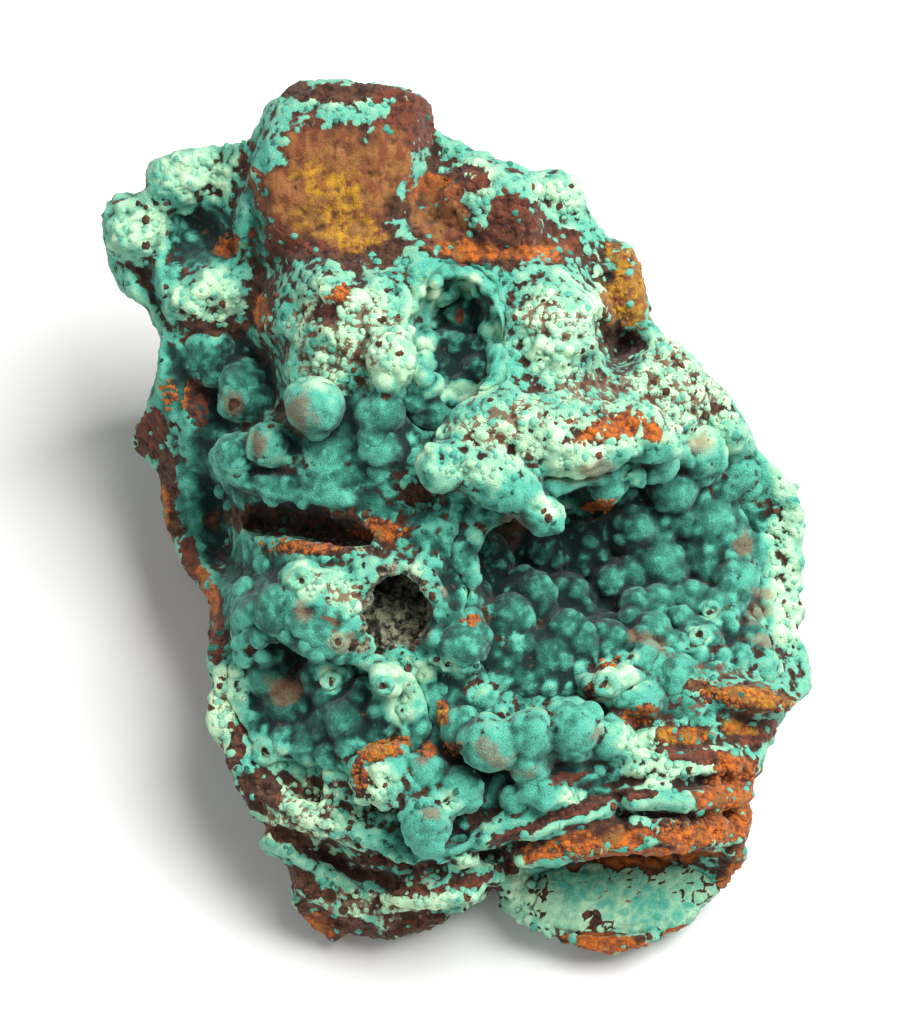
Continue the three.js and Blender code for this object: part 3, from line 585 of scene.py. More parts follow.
def shadeColours(piece, covered=False):
    # the colour masks of a piece, green all over if `covered`: patches where it is seen, and noise elsewhere
    points, normals = cornersOf(piece), normalsOf(piece)
    x, y = pixelsOf(points)
    drift = sum(reach * wander(points, size) for reach, size in (ragged["coarse"], ragged["fine"]))
    rough = 0.5 * drift[:, 2] / ragged["coarse"][0] + ragged["grit"][0] * bumps(points, ragged["grit"][1])
    x, y = x + drift[:, 0], y + drift[:, 1]
    seen = ease(facing(points, normals) + 0.02 * drift[:, 2], *ragged["unseen"])
    broad = 0.5 + 0.5 * bumps(points, 14 * mm)
    middling = 0.5 + 0.5 * bumps(points + 0.1, 9 * mm)
    elsewhere = {
        "sand": ease(broad, 0.5, 0.7),
        "yellow": 0.7 * ease(broad, 0.66, 0.8),
        "rust": ease(middling, 0.4, 0.6),
        "orange": 0.8 * ease(middling, 0.62, 0.76),
        "pale": ease(1 - broad, 0.5, 0.7),
        "bare": 0 * broad,
        "specks": 0.5 + 0 * broad,
        "stain": 0.5 * ease(middling, 0.6, 0.8),
        # painted shade on the green, in noise patches on the sides that aren't seen
        "dark": ease(middling, 0.3, 0.6),
    }
    masks = {}
    for name, other in elsewhere.items():
        masks[name] = seen * patchMask(x, y, patches[name], 0.6, rough) + (1 - seen) * other
    bareBrown = patchMask(x, y, patches["bareBrown"], 0.25, rough)
    mixed = patchMask(x, y, patches["mixed"], 0.5, rough)
    smooth = patchMask(x, y, patches["smooth"], 0.3, rough)
    green = np.maximum(0.56, np.maximum(smooth, 0.9 * masks["pale"]))
    green = np.minimum(green, 1 - 0.38 * mixed) * (1 - bareBrown)
    masks["pale"] = np.maximum(masks["pale"], 0.5 * (1 - smooth) * seen)
    masks["specks"] *= 0.35 if covered else 1
    hidden = 0.12 + 0.55 * ease(1 - middling, 0.52, 0.78)
    masks["green"] = seen * green + (1 - seen) * (np.ones(len(x)) if covered else hidden)
    height, shown = layerHeights(x, y)
    masks["layered"] = shown * seen * (1 - covered) * (1 - 0.6 * masks["orange"])
    masks["layer"] = 0.5 + height / layers["span"]
    for name, values in masks.items():
        setShade(piece, name, values)
    masks["seen"] = seen
    return masks


def addNode(tree, kind, inputs=None, **settings):
    made = tree.nodes.new(kind)
    for setting, value in settings.items():
        setattr(made, setting, value)
    for socket, value in (inputs or {}).items():
        if isinstance(value, bpy.types.NodeSocket):
            tree.links.new(value, made.inputs[socket])
        else:
            made.inputs[socket].default_value = value
    return made


def mathOf(tree, operation, *values):
    return addNode(tree, "ShaderNodeMath", dict(enumerate(values)), operation=operation).outputs[0]


def bandOf(tree, value, low, high):
    inputs = {"Value": value, "From Min": low, "From Max": high}
    return addNode(tree, "ShaderNodeMapRange", inputs, interpolation_type="SMOOTHSTEP").outputs["Result"]


def mixOf(tree, share, under, over):
    return addNode(tree, "ShaderNodeMix", {0: share, 6: under, 7: over}, data_type="RGBA").outputs[2]


def placeOf(tree):
    return addNode(tree, "ShaderNodeTexCoord").outputs["Object"]


def noiseOf(tree, place, size, detail=3.0, roughness=0.55):
    # noise with bumps `size` across, which is a number or another node's output
    scale = mathOf(tree, "DIVIDE", 1.0, size) if isinstance(size, bpy.types.NodeSocket) else 1 / size
    inputs = {"Vector": place, "Scale": scale, "Detail": detail, "Roughness": roughness}
    return addNode(tree, "ShaderNodeTexNoise", inputs).outputs["Fac"]


def stirred(tree, value, by, share):
    # a value, raised where `by` is over 0.5 and lowered where it is under
    return mathOf(tree, "MULTIPLY_ADD", mathOf(tree, "SUBTRACT", by, 0.5), share, value)


def colour(red, green, blue):
    # a screen colour from 0 to 255, as Blender's linear light
    def linear(part):
        part /= 255
        return part / 12.92 if part <= 0.04045 else ((part + 0.055) / 1.055) ** 2.4
    return (linear(red), linear(green), linear(blue), 1)


def newGroup(name, ins, outs):
    # a shader node group with named inputs {name: default} and outputs {name: kind}
    tree = bpy.data.node_groups.new(name, "ShaderNodeTree")
    for label, value in ins.items():
        socket = tree.interface.new_socket(name=label, in_out="INPUT", socket_type="NodeSocketFloat")
        socket.default_value = value
    for label, kind in outs.items():
        tree.interface.new_socket(name=label, in_out="OUTPUT", socket_type=kind)
    return tree, tree.nodes.new("NodeGroupInput").outputs, tree.nodes.new("NodeGroupOutput")


def groupOf(tree, group, inputs):
    return addNode(tree, "ShaderNodeGroup", inputs, node_tree=group).outputs


def makeVelvet():
    # the fine grain of rosasite's needle tips: its height, and painted shade in the gaps between the tips
    tree, ins, out = newGroup(
        "velvetGrainAndShade", {"Grain": 0.32 * mm}, {"Height": "NodeSocketFloat", "GapShade": "NodeSocketFloat"},
    )
    place = placeOf(tree)
    scale = mathOf(tree, "DIVIDE", 1.0, ins["Grain"])
    cells = addNode(tree, "ShaderNodeTexVoronoi", {"Vector": place, "Scale": scale}).outputs["Distance"]
    fine = noiseOf(tree, place, mathOf(tree, "DIVIDE", ins["Grain"], 1.7), 2.0, 0.5)
    height = mathOf(tree, "MULTIPLY_ADD", fine, 0.4, mathOf(tree, "SUBTRACT", 1.0, cells))
    tree.links.new(height, out.inputs["Height"])
    tree.links.new(bandOf(tree, height, 0.95, 0.55), out.inputs["GapShade"])
    return tree


def makeRagged():
    # turns a soft mask into one with a ragged, crumbly edge
    tree, ins, out = newGroup(
        "raggedEdge", {"Mask": 0.5, "Size": 1.2 * mm, "Raggedness": 0.6, "Softness": 0.06},
        {"Mask": "NodeSocketFloat"},
    )
    grain = noiseOf(tree, placeOf(tree), ins["Size"], 5.0, 0.65)
    shifted = stirred(tree, ins["Mask"], grain, mathOf(tree, "MULTIPLY", ins["Raggedness"], 2.0))
    low = mathOf(tree, "SUBTRACT", 0.5, ins["Softness"])
    high = mathOf(tree, "ADD", 0.5, ins["Softness"])
    tree.links.new(bandOf(tree, shifted, low, high), out.inputs["Mask"])
    return tree


def makeSpecks():
    # small crisp specks, gathered in clumps
    tree, ins, out = newGroup(
        "rustSpecks", {"Size": 0.7 * mm, "Amount": 0.5, "Clumps": 3.0 * mm}, {"Mask": "NodeSocketFloat"},
    )
    place = placeOf(tree)
    fine = noiseOf(tree, place, ins["Size"], 3.0, 0.6)
    clumps = noiseOf(tree, place, ins["Clumps"], 2.0, 0.5)
    both = mathOf(tree, "MULTIPLY_ADD", clumps, 0.55, fine)
    level = mathOf(tree, "SUBTRACT", 1.02, mathOf(tree, "MULTIPLY", ins["Amount"], 0.35))
    mask = bandOf(tree, both, level, mathOf(tree, "ADD", level, 0.05))
    tree.links.new(mask, out.inputs["Mask"])
    return tree


velvetGrainAndShade = makeVelvet()
raggedEdge = makeRagged()
rustSpecks = makeSpecks()


def attributeOf(tree, name):
    return addNode(tree, "ShaderNodeAttribute", attribute_name=name).outputs["Fac"]


def newSkin(name):
    material = bpy.data.materials.new(name)
    material.use_nodes = True
    tree = material.node_tree
    tree.nodes.clear()
    shader = tree.nodes.new("ShaderNodeBsdfPrincipled")
    out = tree.nodes.new("ShaderNodeOutputMaterial")
    tree.links.new(shader.outputs[0], out.inputs[0])
    return material, tree, shader


skinLook = {
    # deep, shaded, teal and turquoise are one rosasite colour under painted shade and painted light;
    # turquoise is also the mineral's own paler tone below the mint
    "deep": colour(14, 40, 37),
    "shaded": colour(34, 90, 78),
    "teal": colour(60, 136, 116),
    "turquoise": colour(92, 188, 164),
    "stain": colour(156, 104, 74),
    "mint": colour(138, 200, 166),
    "chalk": colour(196, 230, 188),
    "brown": colour(96, 62, 42),
    "umber": colour(44, 28, 22),
    "sand": colour(142, 98, 52),
    "tan": colour(154, 100, 60),
    "yellow": colour(188, 140, 40),
    "orange": colour(200, 108, 32),
    "rust": colour(116, 62, 42),
    "darkRust": colour(62, 38, 30),
    "greyRock": colour(156, 158, 128),
    # darkRockAndShade is both the dark grit of the bare rock and painted shade in crevices
    "darkRockAndShade": colour(34, 30, 22),
    "speck": colour(116, 70, 48),
    "velvetSize": 0.15 * mm,
    "gritSize": 0.9 * mm,
    "cloudSize": 2.6 * mm,
    "edgeSize": 0.9 * mm,       # crumbs along the edges of the green
    "speckSize": 0.5 * mm,
    "speckClumps": 1.8 * mm,
    "bumpDepth": 0.12 * mm,
    "shader": {
        "Roughness": 0.95, "Specular IOR Level": 0.2, "Sheen Weight": 0.12, "Sheen Roughness": 0.5,
    },
}

# How much each of these paints light into the green or paints shade into it: openness, crevices and bumps,
# and the painted-shade patches; drift is a random change of tone
greenLight = {"open": 0.95, "drift": 0.35, "pitBroad": -1.45, "pitFine": -0.8, "dark": -0.5}


def rampOf(tree, value, under, **steps):
    # colours of the skin laid over one another as a value rises, each {name: (low, high)}
    for name, (low, high) in steps.items():
        under = mixOf(tree, bandOf(tree, value, low, high), under, skinLook[name])
    return under


def greenColour(tree, place, velvet, grit, clouds):
    # rosasite: painted shade near black deep in a hollow and in crevices, teal on flanks, a painted
    # highlight of turquoise in the open and on bumps, chalky where it weathers
    fine = attributeOf(tree, "pitFine")
    lit = mathOf(tree, "MULTIPLY", attributeOf(tree, "open"), greenLight["open"])
    lit = stirred(tree, lit, noiseOf(tree, place, 6 * mm), greenLight["drift"])
    lit = stirred(tree, lit, attributeOf(tree, "pitBroad"), greenLight["pitBroad"])
    lit = stirred(tree, lit, fine, greenLight["pitFine"])
    lit = mathOf(tree, "MULTIPLY_ADD", attributeOf(tree, "dark"), greenLight["dark"], lit)
    # the ramp paints the shade and light: deep and shaded in hollows and crevices, teal on flanks, turquoise
    # on open ground and bump tops
    base = rampOf(
        tree, lit, skinLook["deep"], shaded=(0.0, 0.45), teal=(0.35, 0.95), turquoise=(0.85, 1.4),
    )
    pale = stirred(tree, attributeOf(tree, "pale"), clouds, 0.7)
    # painted shade: less chalk in crevices, so they stay teal
    pale = stirred(tree, pale, fine, -0.7)
    pale = stirred(tree, pale, grit, 0.5)
    base = rampOf(tree, pale, base, turquoise=(0.05, 0.5), mint=(0.4, 0.85), chalk=(0.75, 1.3))
    stain = stirred(tree, attributeOf(tree, "stain"), grit, 1.2)
    stain = mathOf(tree, "MULTIPLY", bandOf(tree, stain, 0.2, 1.2), 0.65)
    base = mixOf(tree, stain, base, skinLook["stain"])
    # painted shade between the needle tips, weaker where the chalk is
    gapShade = mathOf(tree, "MULTIPLY", velvet["GapShade"], mathOf(tree, "MULTIPLY_ADD", pale, -0.35, 0.42))
    return mixOf(tree, gapShade, base, skinLook["deep"])


def brownColour(tree, place, grit, clouds):
    # the gossan: umber and brown, with patches of sand, ochre, orange and rust, and layers at the foot
    base = rampOf(tree, grit, skinLook["umber"], brown=(0.36, 0.62))
    rust = rampOf(tree, grit, skinLook["darkRust"], rust=(0.35, 0.6))
    base = mixOf(tree, bandOf(tree, attributeOf(tree, "rust"), 0.15, 0.7), base, rust)
    turned = {"Vector": place, "Rotation": (0, 0, 0.7), "Scale": (1, 0.3, 1)}
    turned = addNode(tree, "ShaderNodeMapping", turned).outputs[0]
    streak = noiseOf(tree, turned, 1.3 * mm, 4.0, 0.65)
    sand = rampOf(tree, clouds, skinLook["sand"], tan=(0.4, 0.6))
    streak = mathOf(tree, "MULTIPLY", bandOf(tree, streak, 0.43, 0.6), 0.9)
    sand = mixOf(tree, streak, sand, skinLook["rust"])
    base = mixOf(tree, bandOf(tree, attributeOf(tree, "sand"), 0.1, 0.6), base, sand)
    for name, size in (("yellow", 1.6 * mm), ("orange", 1.0 * mm)):
        own = rampOf(tree, grit, skinLook[name], rust=(0.62, 0.36))
        own = rampOf(tree, clouds, own, sand=(0.5, 0.68))
        mask = {"Mask": attributeOf(tree, name), "Size": size, "Raggedness": 0.5, "Softness": 0.3}
        base = mixOf(tree, groupOf(tree, raggedEdge, mask)["Mask"], base, own)
    height = mathOf(tree, "MULTIPLY_ADD", clouds, 0.05, attributeOf(tree, "layer"))
    bands = {"W": height, "Scale": 42.0, "Detail": 3.0}
    bands = addNode(tree, "ShaderNodeTexNoise", bands, noise_dimensions="1D").outputs["Fac"]
    striped = mixOf(tree, bandOf(tree, bands, 0.42, 0.52), skinLook["darkRust"], base)
    return mixOf(tree, attributeOf(tree, "layered"), base, striped)


def makeSkin(name):
    # brown under green, as the masks say, then specks, grey rock in the deep hole and painted shade in the
    # crevices
    material, tree, shader = newSkin(name)
    place = placeOf(tree)
    velvet = groupOf(tree, velvetGrainAndShade, {"Grain": skinLook["velvetSize"]})
    grit = noiseOf(tree, place, skinLook["gritSize"], 5.0, 0.7)
    clouds = noiseOf(tree, place, skinLook["cloudSize"], 4.0, 0.6)
    fine = attributeOf(tree, "pitFine")
    base = brownColour(tree, place, grit, clouds)
    green = greenColour(tree, place, velvet, grit, clouds)
    cover = stirred(tree, attributeOf(tree, "green"), fine, -0.8)
    cover = {"Mask": cover, "Size": skinLook["edgeSize"], "Raggedness": 0.5}
    cover = groupOf(tree, raggedEdge, cover)["Mask"]
    base = mixOf(tree, cover, base, green)
    amount = stirred(tree, mathOf(tree, "MULTIPLY", attributeOf(tree, "specks"), 0.8), fine, 0.9)
    specks = {"Size": skinLook["speckSize"], "Amount": amount, "Clumps": skinLook["speckClumps"]}
    specks = mathOf(tree, "MULTIPLY", groupOf(tree, rustSpecks, specks)["Mask"], 0.85)
    base = mixOf(tree, specks, base, skinLook["speck"])
    bare = rampOf(tree, grit, skinLook["darkRockAndShade"], greyRock=(0.4, 0.62))
    base = mixOf(tree, bandOf(tree, attributeOf(tree, "bare"), 0.3, 0.7), base, bare)
    # painted shade: crevices darkened towards darkRockAndShade on the brown and deep on the green
    shade = mathOf(tree, "MULTIPLY", bandOf(tree, fine, 0.56, 0.95), 0.7)
    base = mixOf(tree, shade, base, mixOf(tree, cover, skinLook["darkRockAndShade"], skinLook["deep"]))
    tree.links.new(base, shader.inputs["Base Color"])
    gritHeight = mathOf(tree, "MULTIPLY_ADD", cover, -2.0, 2.8)     # grit stands out less on the green
    height = mathOf(tree, "MULTIPLY_ADD", grit, gritHeight, velvet["Height"])
    bump = {"Height": height, "Strength": 0.8, "Distance": skinLook["bumpDepth"]}
    tree.links.new(addNode(tree, "ShaderNodeBump", bump).outputs[0], shader.inputs["Normal"])
    for socket, value in skinLook["shader"].items():
        shader.inputs[socket].default_value = value
    return material


rockSkin = makeSkin("chalk_crusted_gossan")
tealSkin = makeSkin("velvety_rosasite")
print("made the materials")


def dress(piece, material, slot, *nodes):
    # the last steps of every piece
    selectOnly(piece)
    bpy.ops.object.shade_smooth()
    piece.data.materials.clear()
    piece.data.materials.append(material)
    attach(piece, "root")
    if nodes:
        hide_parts(*nodes)
    print(piece.name, "has", sum(len(face.vertices) - 2 for face in piece.data.polygons), "triangles")


# The rock
rock = {
    "voxel": 0.40 * mm,
    "waves": 0.3 * mm,        # broad unevenness
    "chalkDomes": 0.3 * mm,   # the cauliflower skin of the chalky crust
    "grit": 0.16 * mm,
    "sandGrit": 0.3 * mm,     # the crumbly sand-coloured boss
    "crags": 1.5 * mm,        # broken rock on the sides that the photo doesn't show
    "layers": 0.55 * mm,      # how deep the thin layers stand out
    "keptBehind": 0.35,       # share of the triangles kept on the hidden sides
    "most": 198000,           # triangles
    "pits": (0.25, 1.2),      # depth in mm of fine and broad crevices, as on every piece below
}


def paleChance(x, y):
    # how thickly chalk popcorn grows
    pale, brown = patchMask(x, y, patches["pale"], 0.5), patchMask(x, y, patches["bareBrown"], 0.3)
    return 0.85 * pale * (1 - 0.8 * brown)


# Granules on the rock: chalk popcorn, crumbs on the brown lump, rubble at the foot and in the deep hole
granules = {
    "firstSeed": 41,
    # each a box of pixels, spacing, least and most radius, share of it sunk, and where it grows, if not
    # all over
    "spreads": [
        ((100, 140, 265, 335), 11, (5, 10), 0.3, paleChance),
        ((275, 255, 425, 400), 13, (6, 11), 0.4, paleChance),
        ((500, 255, 745, 470), 14, (6, 11), 0.45, paleChance),
        ((425, 385, 690, 475), 12, (5, 10), 0.4, paleChance),
        ((445, 155, 545, 250), 12, (6, 11), 0.35, None),
        ((205, 650, 260, 790), 10, (4, 8), 0.3, paleChance),
        ((235, 770, 480, 935), 9, (4, 8), 0.25, paleChance),
        ((440, 740, 790, 830), 11, (4, 9), 0.25, paleChance),
        ((360, 565, 430, 655), 10, (6, 12), 0.1, None),
        ((760, 440, 805, 690), 11, (5, 9), 0.35, paleChance),
        ((290, 560, 360, 660), 14, (7, 12), 0.45, None),
        ((240, 790, 490, 940), 15, (5, 11), 0.25, None),
        ((640, 740, 790, 850), 14, (5, 10), 0.25, None),
    ],
}


def growGranules(piece):
    own = Ground([piece])
    for seed, (region, spacing, sizes, sunk, keep) in enumerate(granules["spreads"], granules["firstSeed"]):
        grown = scatterOn(own, region, spacing, sizes, sunk, seed, keep)
        joinInto(piece, [copyBalls("granules", smallBall, grown)])


def thinUnseen(piece, most, keptBehind):
    # fewer triangles, above all on the sides that the photo doesn't show
    away = facing(cornersOf(piece), normalsOf(piece)) < -0.1
    group = piece.vertex_groups.new(name="unseen")
    group.add(np.nonzero(away)[0].tolist(), 1.0, "REPLACE")
    finishWith(piece, "TRIANGULATE")
    finishWith(piece, "DECIMATE", ratio=1 - away.mean() * (1 - keptBehind), vertex_group=group.name)
    finishWith(piece, "DECIMATE", ratio=min(1, most / len(piece.data.polygons)))
    piece.vertex_groups.remove(piece.vertex_groups[0])


def makeRockPiece():
    piece = bases["gossan_matrix"]
    piece.name = piece.data.name = "gossan_rock"
    growGranules(piece)
    fuse(piece, rock["voxel"])
    masks = shadeColours(piece)
    points = cornersOf(piece)
    push = rock["waves"] * bumps(points, 4 * mm)
    push += rock["grit"] * bumps(points, 0.9 * mm)
    push += rock["chalkDomes"] * (domes(points, 1.2 * mm) - 0.5) * masks["pale"]
    push += rock["sandGrit"] * bumps(points, 1.1 * mm) * masks["sand"]
    crags = np.abs(bumps(points, 7 * mm)) + 0.5 * plates(points, 3 * mm)
    push -= rock["crags"] * (1 - masks["seen"]) * crags
    heights = layers["span"] * (masks["layer"] - 0.5) / layers["step"]
    across = 0.07 * points[:, 0] / mm
    ridges = np.array([noise.noise(Vector((height, x, 0.5))) for height, x in zip(heights, across)])
    push += rock["layers"] * ridges * 1.6 * masks["layered"]
    pushOut(piece, push)
    thinUnseen(piece, rock["most"], rock["keptBehind"])
    shadeColours(piece)
    shadePits(piece, *rock["pits"])
    shadeOpenness(piece)
    dress(piece, rockSkin, "gossan", "gossan_matrix")
    return piece


rockPiece = makeRockPiece()
print("made the rock")

# The crust of balls in the main hollow, as balls (x, y, radius) in pixels
mainHollow = {
    "balls": [
        (700, 450, 32), (737, 472, 32), (675, 489, 25), (678, 516, 25), (713, 522, 27), (729, 540, 24),
        (760, 550, 24), (638, 528, 18), (608, 530, 17), (579, 563, 15), (573, 593, 14), (585, 612, 14),
        (659, 561, 25), (632, 573, 20), (612, 581, 18), (671, 577, 15), (636, 604, 18), (659, 600, 18),
        (679, 597, 16), (632, 624, 18), (655, 628, 18), (628, 643, 14), (647, 651, 14), (667, 643, 15),
        (682, 620, 15), (721, 608, 20), (706, 643, 20), (714, 569, 20), (737, 581, 24), (760, 593, 20),
        (768, 616, 20), (749, 643, 24), (776, 636, 16), (760, 667, 22), (737, 659, 20), (511, 616, 24),
        (538, 612, 22), (565, 628, 20), (550, 659, 30), (515, 643, 24), (581, 643, 20), (534, 593, 22),
        (558, 597, 18), (483, 550, 18), (464, 561, 16), (497, 569, 16), (472, 577, 11), (487, 583, 15),
        (460, 511, 12), (473, 517, 10), (569, 526, 12), (556, 524, 10), (581, 530, 11), (542, 550, 16),
        (538, 569, 18), (554, 558, 12), (608, 487, 18), (503, 678, 22), (526, 682, 20), (483, 698, 18),
        (608, 682, 15), (675, 678, 22), (515, 528, 16), (660, 540, 16), (690, 545, 14), (600, 555, 12),
    ],
    "sunk": 0.62,
    "lobes": {"share": 0.42, "chance": 0.55, "seed": 11, "spread": 0.68},
    "fill": {"region": (445, 440, 790, 700), "spacing": 19, "sizes": (8, 13), "sunk": 0.5, "seed": 3},
    "voxel": 0.25 * mm,
}

upperHollow = {
    "balls": [
        (445, 290, 15), (455, 345, 16), (440, 368, 20), (480, 370, 20), (430, 385, 15), (470, 300, 12),
        (490, 330, 13), (438, 318, 13), (460, 318, 12), (478, 345, 14), (462, 388, 16), (448, 400, 14),
        (425, 362, 12), (495, 350, 10), (430, 340, 11), (415, 400, 14),
    ],
    "sunk": 0.5,
    "lobes": {"share": 0.45, "chance": 0.3, "seed": 12, "spread": 0.6},
    "fill": {"region": (415, 275, 500, 415), "spacing": 16, "sizes": (7, 11), "sunk": 0.5, "seed": 5},
    "voxel": 0.24 * mm,
}

lowerHollow = {
    "balls": [
        (290, 700, 30), (270, 675, 26), (325, 665, 20), (345, 720, 22), (312, 745, 24), (245, 655, 14),
        (365, 690, 14), (375, 735, 18), (330, 755, 16), (300, 660, 18), (330, 695, 20), (360, 705, 18),
        (350, 745, 18), (285, 740, 16),
    ],
    "sunk": 0.55,
    "lobes": {"share": 0.45, "chance": 0.35, "seed": 13, "spread": 0.62},
    "fill": {"region": (235, 640, 420, 765), "spacing": 18, "sizes": (7, 12), "sunk": 0.5, "seed": 7},
    "voxel": 0.24 * mm,
}


def makeCrust(node, name, hollow):
    # the CAD crust with true round balls, their lobes and small balls between them, fused in one skin
    piece = bases[node]
    piece.name = piece.data.name = name
    balls = seatBalls(hollow["balls"], hollow["sunk"])
    grown = [
        copyBalls("balls", largeBall, balls),
        copyBalls("lobes", mediumBall, lobesOn(balls, **hollow["lobes"])),
        copyBalls("fill", mediumBall, scatterOn(Ground([piece]), **hollow["fill"])),
    ]
    joinInto(piece, grown)
    fuse(piece, hollow["voxel"])
    finishGreen(piece, node)


ballSkin = {"uneven": 0.14 * mm, "size": 1.5 * mm, "pits": (0.12, 0.9)}


def finishGreen(piece, *nodes):
    # a slight unevenness, then the masks and the velvety skin
    pushOut(piece, ballSkin["uneven"] * bumps(cornersOf(piece), ballSkin["size"]))
    shadeColours(piece, covered=True)
    shadePits(piece, *ballSkin["pits"])
    shadeOpenness(piece)
    dress(piece, tealSkin, "rosasite", *nodes)


makeCrust("main_hollow_crust", "main_hollow_balls", mainHollow)
makeCrust("upper_hollow_crust", "upper_hollow_balls", upperHollow)
makeCrust("lower_hollow_crust", "lower_hollow_balls", lowerHollow)
print("made the crusts in the hollows")

# Balls grown on the open face, in clusters on the front edge and down the middle
openBalls = {
    "sunk": 0.8,
    "lobes": {"share": 0.5, "chance": 0.4, "spread": 0.62},
    "voxel": 0.25 * mm,
    "front": [
        (490, 745, 28), (530, 737, 26), (528, 765, 20), (572, 730, 29), (610, 740, 22), (462, 730, 20),
        (427, 774, 20), (460, 790, 24), (426, 826, 25), (545, 796, 16), (462, 646, 25), (455, 842, 15),
        (380, 860, 12), (402, 862, 14), (600, 770, 11), (640, 765, 15), (668, 778, 13), (436, 800, 16),
        (495, 790, 20), (515, 800, 16), (590, 715, 14), (440, 690, 12), (430, 672, 13),
    ],
    "column": [
        (314, 405, 30), (384, 412, 22), (376, 438, 20), (270, 444, 20), (236, 455, 24), (412, 450, 15),
        (377, 468, 14), (410, 480, 12), (208, 352, 30), (250, 352, 22), (255, 400, 24), (235, 402, 20),
        (425, 343, 12), (430, 290, 11), (265, 565, 14), (280, 610, 28), (245, 590, 14), (302, 580, 22),
        (388, 378, 16), (400, 360, 14), (330, 640, 20), (350, 625, 16), (222, 490, 10), (230, 505, 9),
    ],
}


def makeOpenBalls(name, spots, seed):
    balls = seatBalls(spots, openBalls["sunk"])
    piece = copyBalls(name, largeBall, balls)
    lobes = lobesOn(balls, seed=seed, **openBalls["lobes"])
    joinInto(piece, [copyBalls("lobes", mediumBall, lobes)])
    fuse(piece, openBalls["voxel"])
    finishGreen(piece)


makeOpenBalls("front_balls", openBalls["front"], 21)
makeOpenBalls("column_balls", openBalls["column"], 23)
print("made the open balls")

rings = {
    "radius": 0.62,           # share of a crater's radius
    "thickness": 0.36,
    "segments": (28, 14),
    "uneven": 0.26 * mm,
    "size": 0.8 * mm,
    "pits": (0.3, 1.2),
}


def makeCraters(ground):
    # rings modelled once as a torus, and copied to stand square on what the eye sees
    bpy.ops.object.select_all(action="DESELECT")
    bpy.ops.mesh.primitive_torus_add(
        major_radius=rings["radius"], minor_radius=rings["thickness"],
        major_segments=rings["segments"][0], minor_segments=rings["segments"][1],
    )
    piece = bpy.context.object
    piece.name = piece.data.name = "crater_rings"
    ring = cornersOf(piece)
    faces = [face.vertices[:] for face in piece.data.polygons]
    points, polygons = [], []
    for x, y, radius in craters:
        place, normal, _ = ground.under(x, y)
        turn = np.array((normal + faceOut).to_track_quat("Z", "Y").to_matrix())
        polygons += [[len(points) + corner for corner in face] for face in faces]
        points += (ring @ turn.T * radius * shot["pixelSize"] + np.array(place)).tolist()
    piece.data.clear_geometry()
    piece.data.from_pydata(points, [], polygons)
    points = cornersOf(piece)
    pushOut(piece, rings["uneven"] * bumps(points, rings["size"]))
    shadeColours(piece, covered=True)
    setShade(piece, "pale", 0.55 + 0.4 * bumps(points, 1.5 * mm))
    shadePits(piece, *rings["pits"])
    shadeOpenness(piece)
    dress(piece, tealSkin, "pale_rosasite")


shelf = {
    "voxel": 0.26 * mm,
    "plates": 1.15 * mm,      # width of the plates
    "thickness": 0.2 * mm,
    "crooked": 0.4 * mm,      # how crooked the cracks between them run
    "waves": 0.28 * mm,
    "brownCracks": (0.52, 0.72),
    "pits": (0.5, 1.6),
}


def makeShelf():
    # thin flat plates of pale rosasite with brown cracks between them
    piece = bases["shelf_crust"]
    piece.name = piece.data.name = "shelf_skin"
    fuse(piece, shelf["voxel"], smoothing=4)
    points = cornersOf(piece)
    flats = plates(points + shelf["crooked"] * wander(points, 1.2 * mm), shelf["plates"])
    pushOut(piece, shelf["thickness"] * flats + shelf["waves"] * bumps(points, 1.4 * mm))
    masks = shadeColours(piece, covered=True)
    cracked = 0.5 + 0.5 * bumps(points, 5 * mm)
    brown = (1 - flats) * ease(cracked, *shelf["brownCracks"])
    setShade(piece, "green", np.minimum(1.3 * masks["green"], 1 - brown))
    pale = 0.42 + 0.4 * masks["pale"] + 0.5 * (1 - flats) + 0.3 * ease(cracked, 0.5, 0.7)
    setShade(piece, "pale", pale)
    shadePits(piece, *shelf["pits"])
    # painted light: the shelf's green is painted as fully open, with no painted hollow shade
    setShade(piece, "open", np.ones(len(points)))
    dress(piece, tealSkin, "pale_rosasite", "shelf_crust")


grownGround = Ground([piece for piece in bpy.data.objects if piece.name.endswith(("_rock", "_balls"))])
makeCraters(grownGround)
makeShelf()
print("made the craters and the shelf")

# Small crumbs all over the pale crust, on the bare brown rock and in the orange spots
crumbs = {
    "uneven": 0.16 * mm,
    "size": 0.5 * mm,
    "paleShift": (-0.35, 0.15),     # how far a crumb is lighter or darker than its ground
    "boss": (342, 172, 86, 76),     # the brown boss, which has its own grit
    "chalk": {
        "region": (100, 85, 805, 940), "spacing": 7.0, "sizes": (2.4, 5.6), "sunk": 0.62, "seed": 61,
        "slack": 1.2 * mm,
    },
    "brown": {
        "region": (100, 85, 805, 960), "spacing": 7.5, "sizes": (2.4, 6), "sunk": 0.62, "seed": 63,
        "slack": 3 * mm,
    },
    "orange": {
        "region": (100, 85, 805, 960), "spacing": 4.5, "sizes": (1.8, 3.6), "sunk": 0.5, "seed": 62,
        "slack": 3 * mm,
    },
}

# Spots of orange grains, as ellipses like the patches
orangeSpots = [
    (472, 620, 10, 6), (443, 713, 6, 13), (428, 750, 9, 8), (452, 748, 11, 9), (638, 716, 17, 9, 15),
    (592, 692, 7, 11), (612, 662, 14, 5, 10), (384, 748, 26, 9, 15), (360, 776, 8, 18),
    (610, 428, 34, 11, 18), (600, 505, 16, 7), (340, 292, 14, 8, 20), (228, 245, 12, 10), (310, 546, 50, 7),
    (376, 530, 26, 9), (744, 697, 46, 12, -8), (688, 735, 26, 8), (735, 728, 16, 6), (735, 795, 26, 36),
    (698, 830, 44, 12), (570, 850, 44, 7, 5), (610, 946, 60, 7), (170, 395, 8, 16),
]


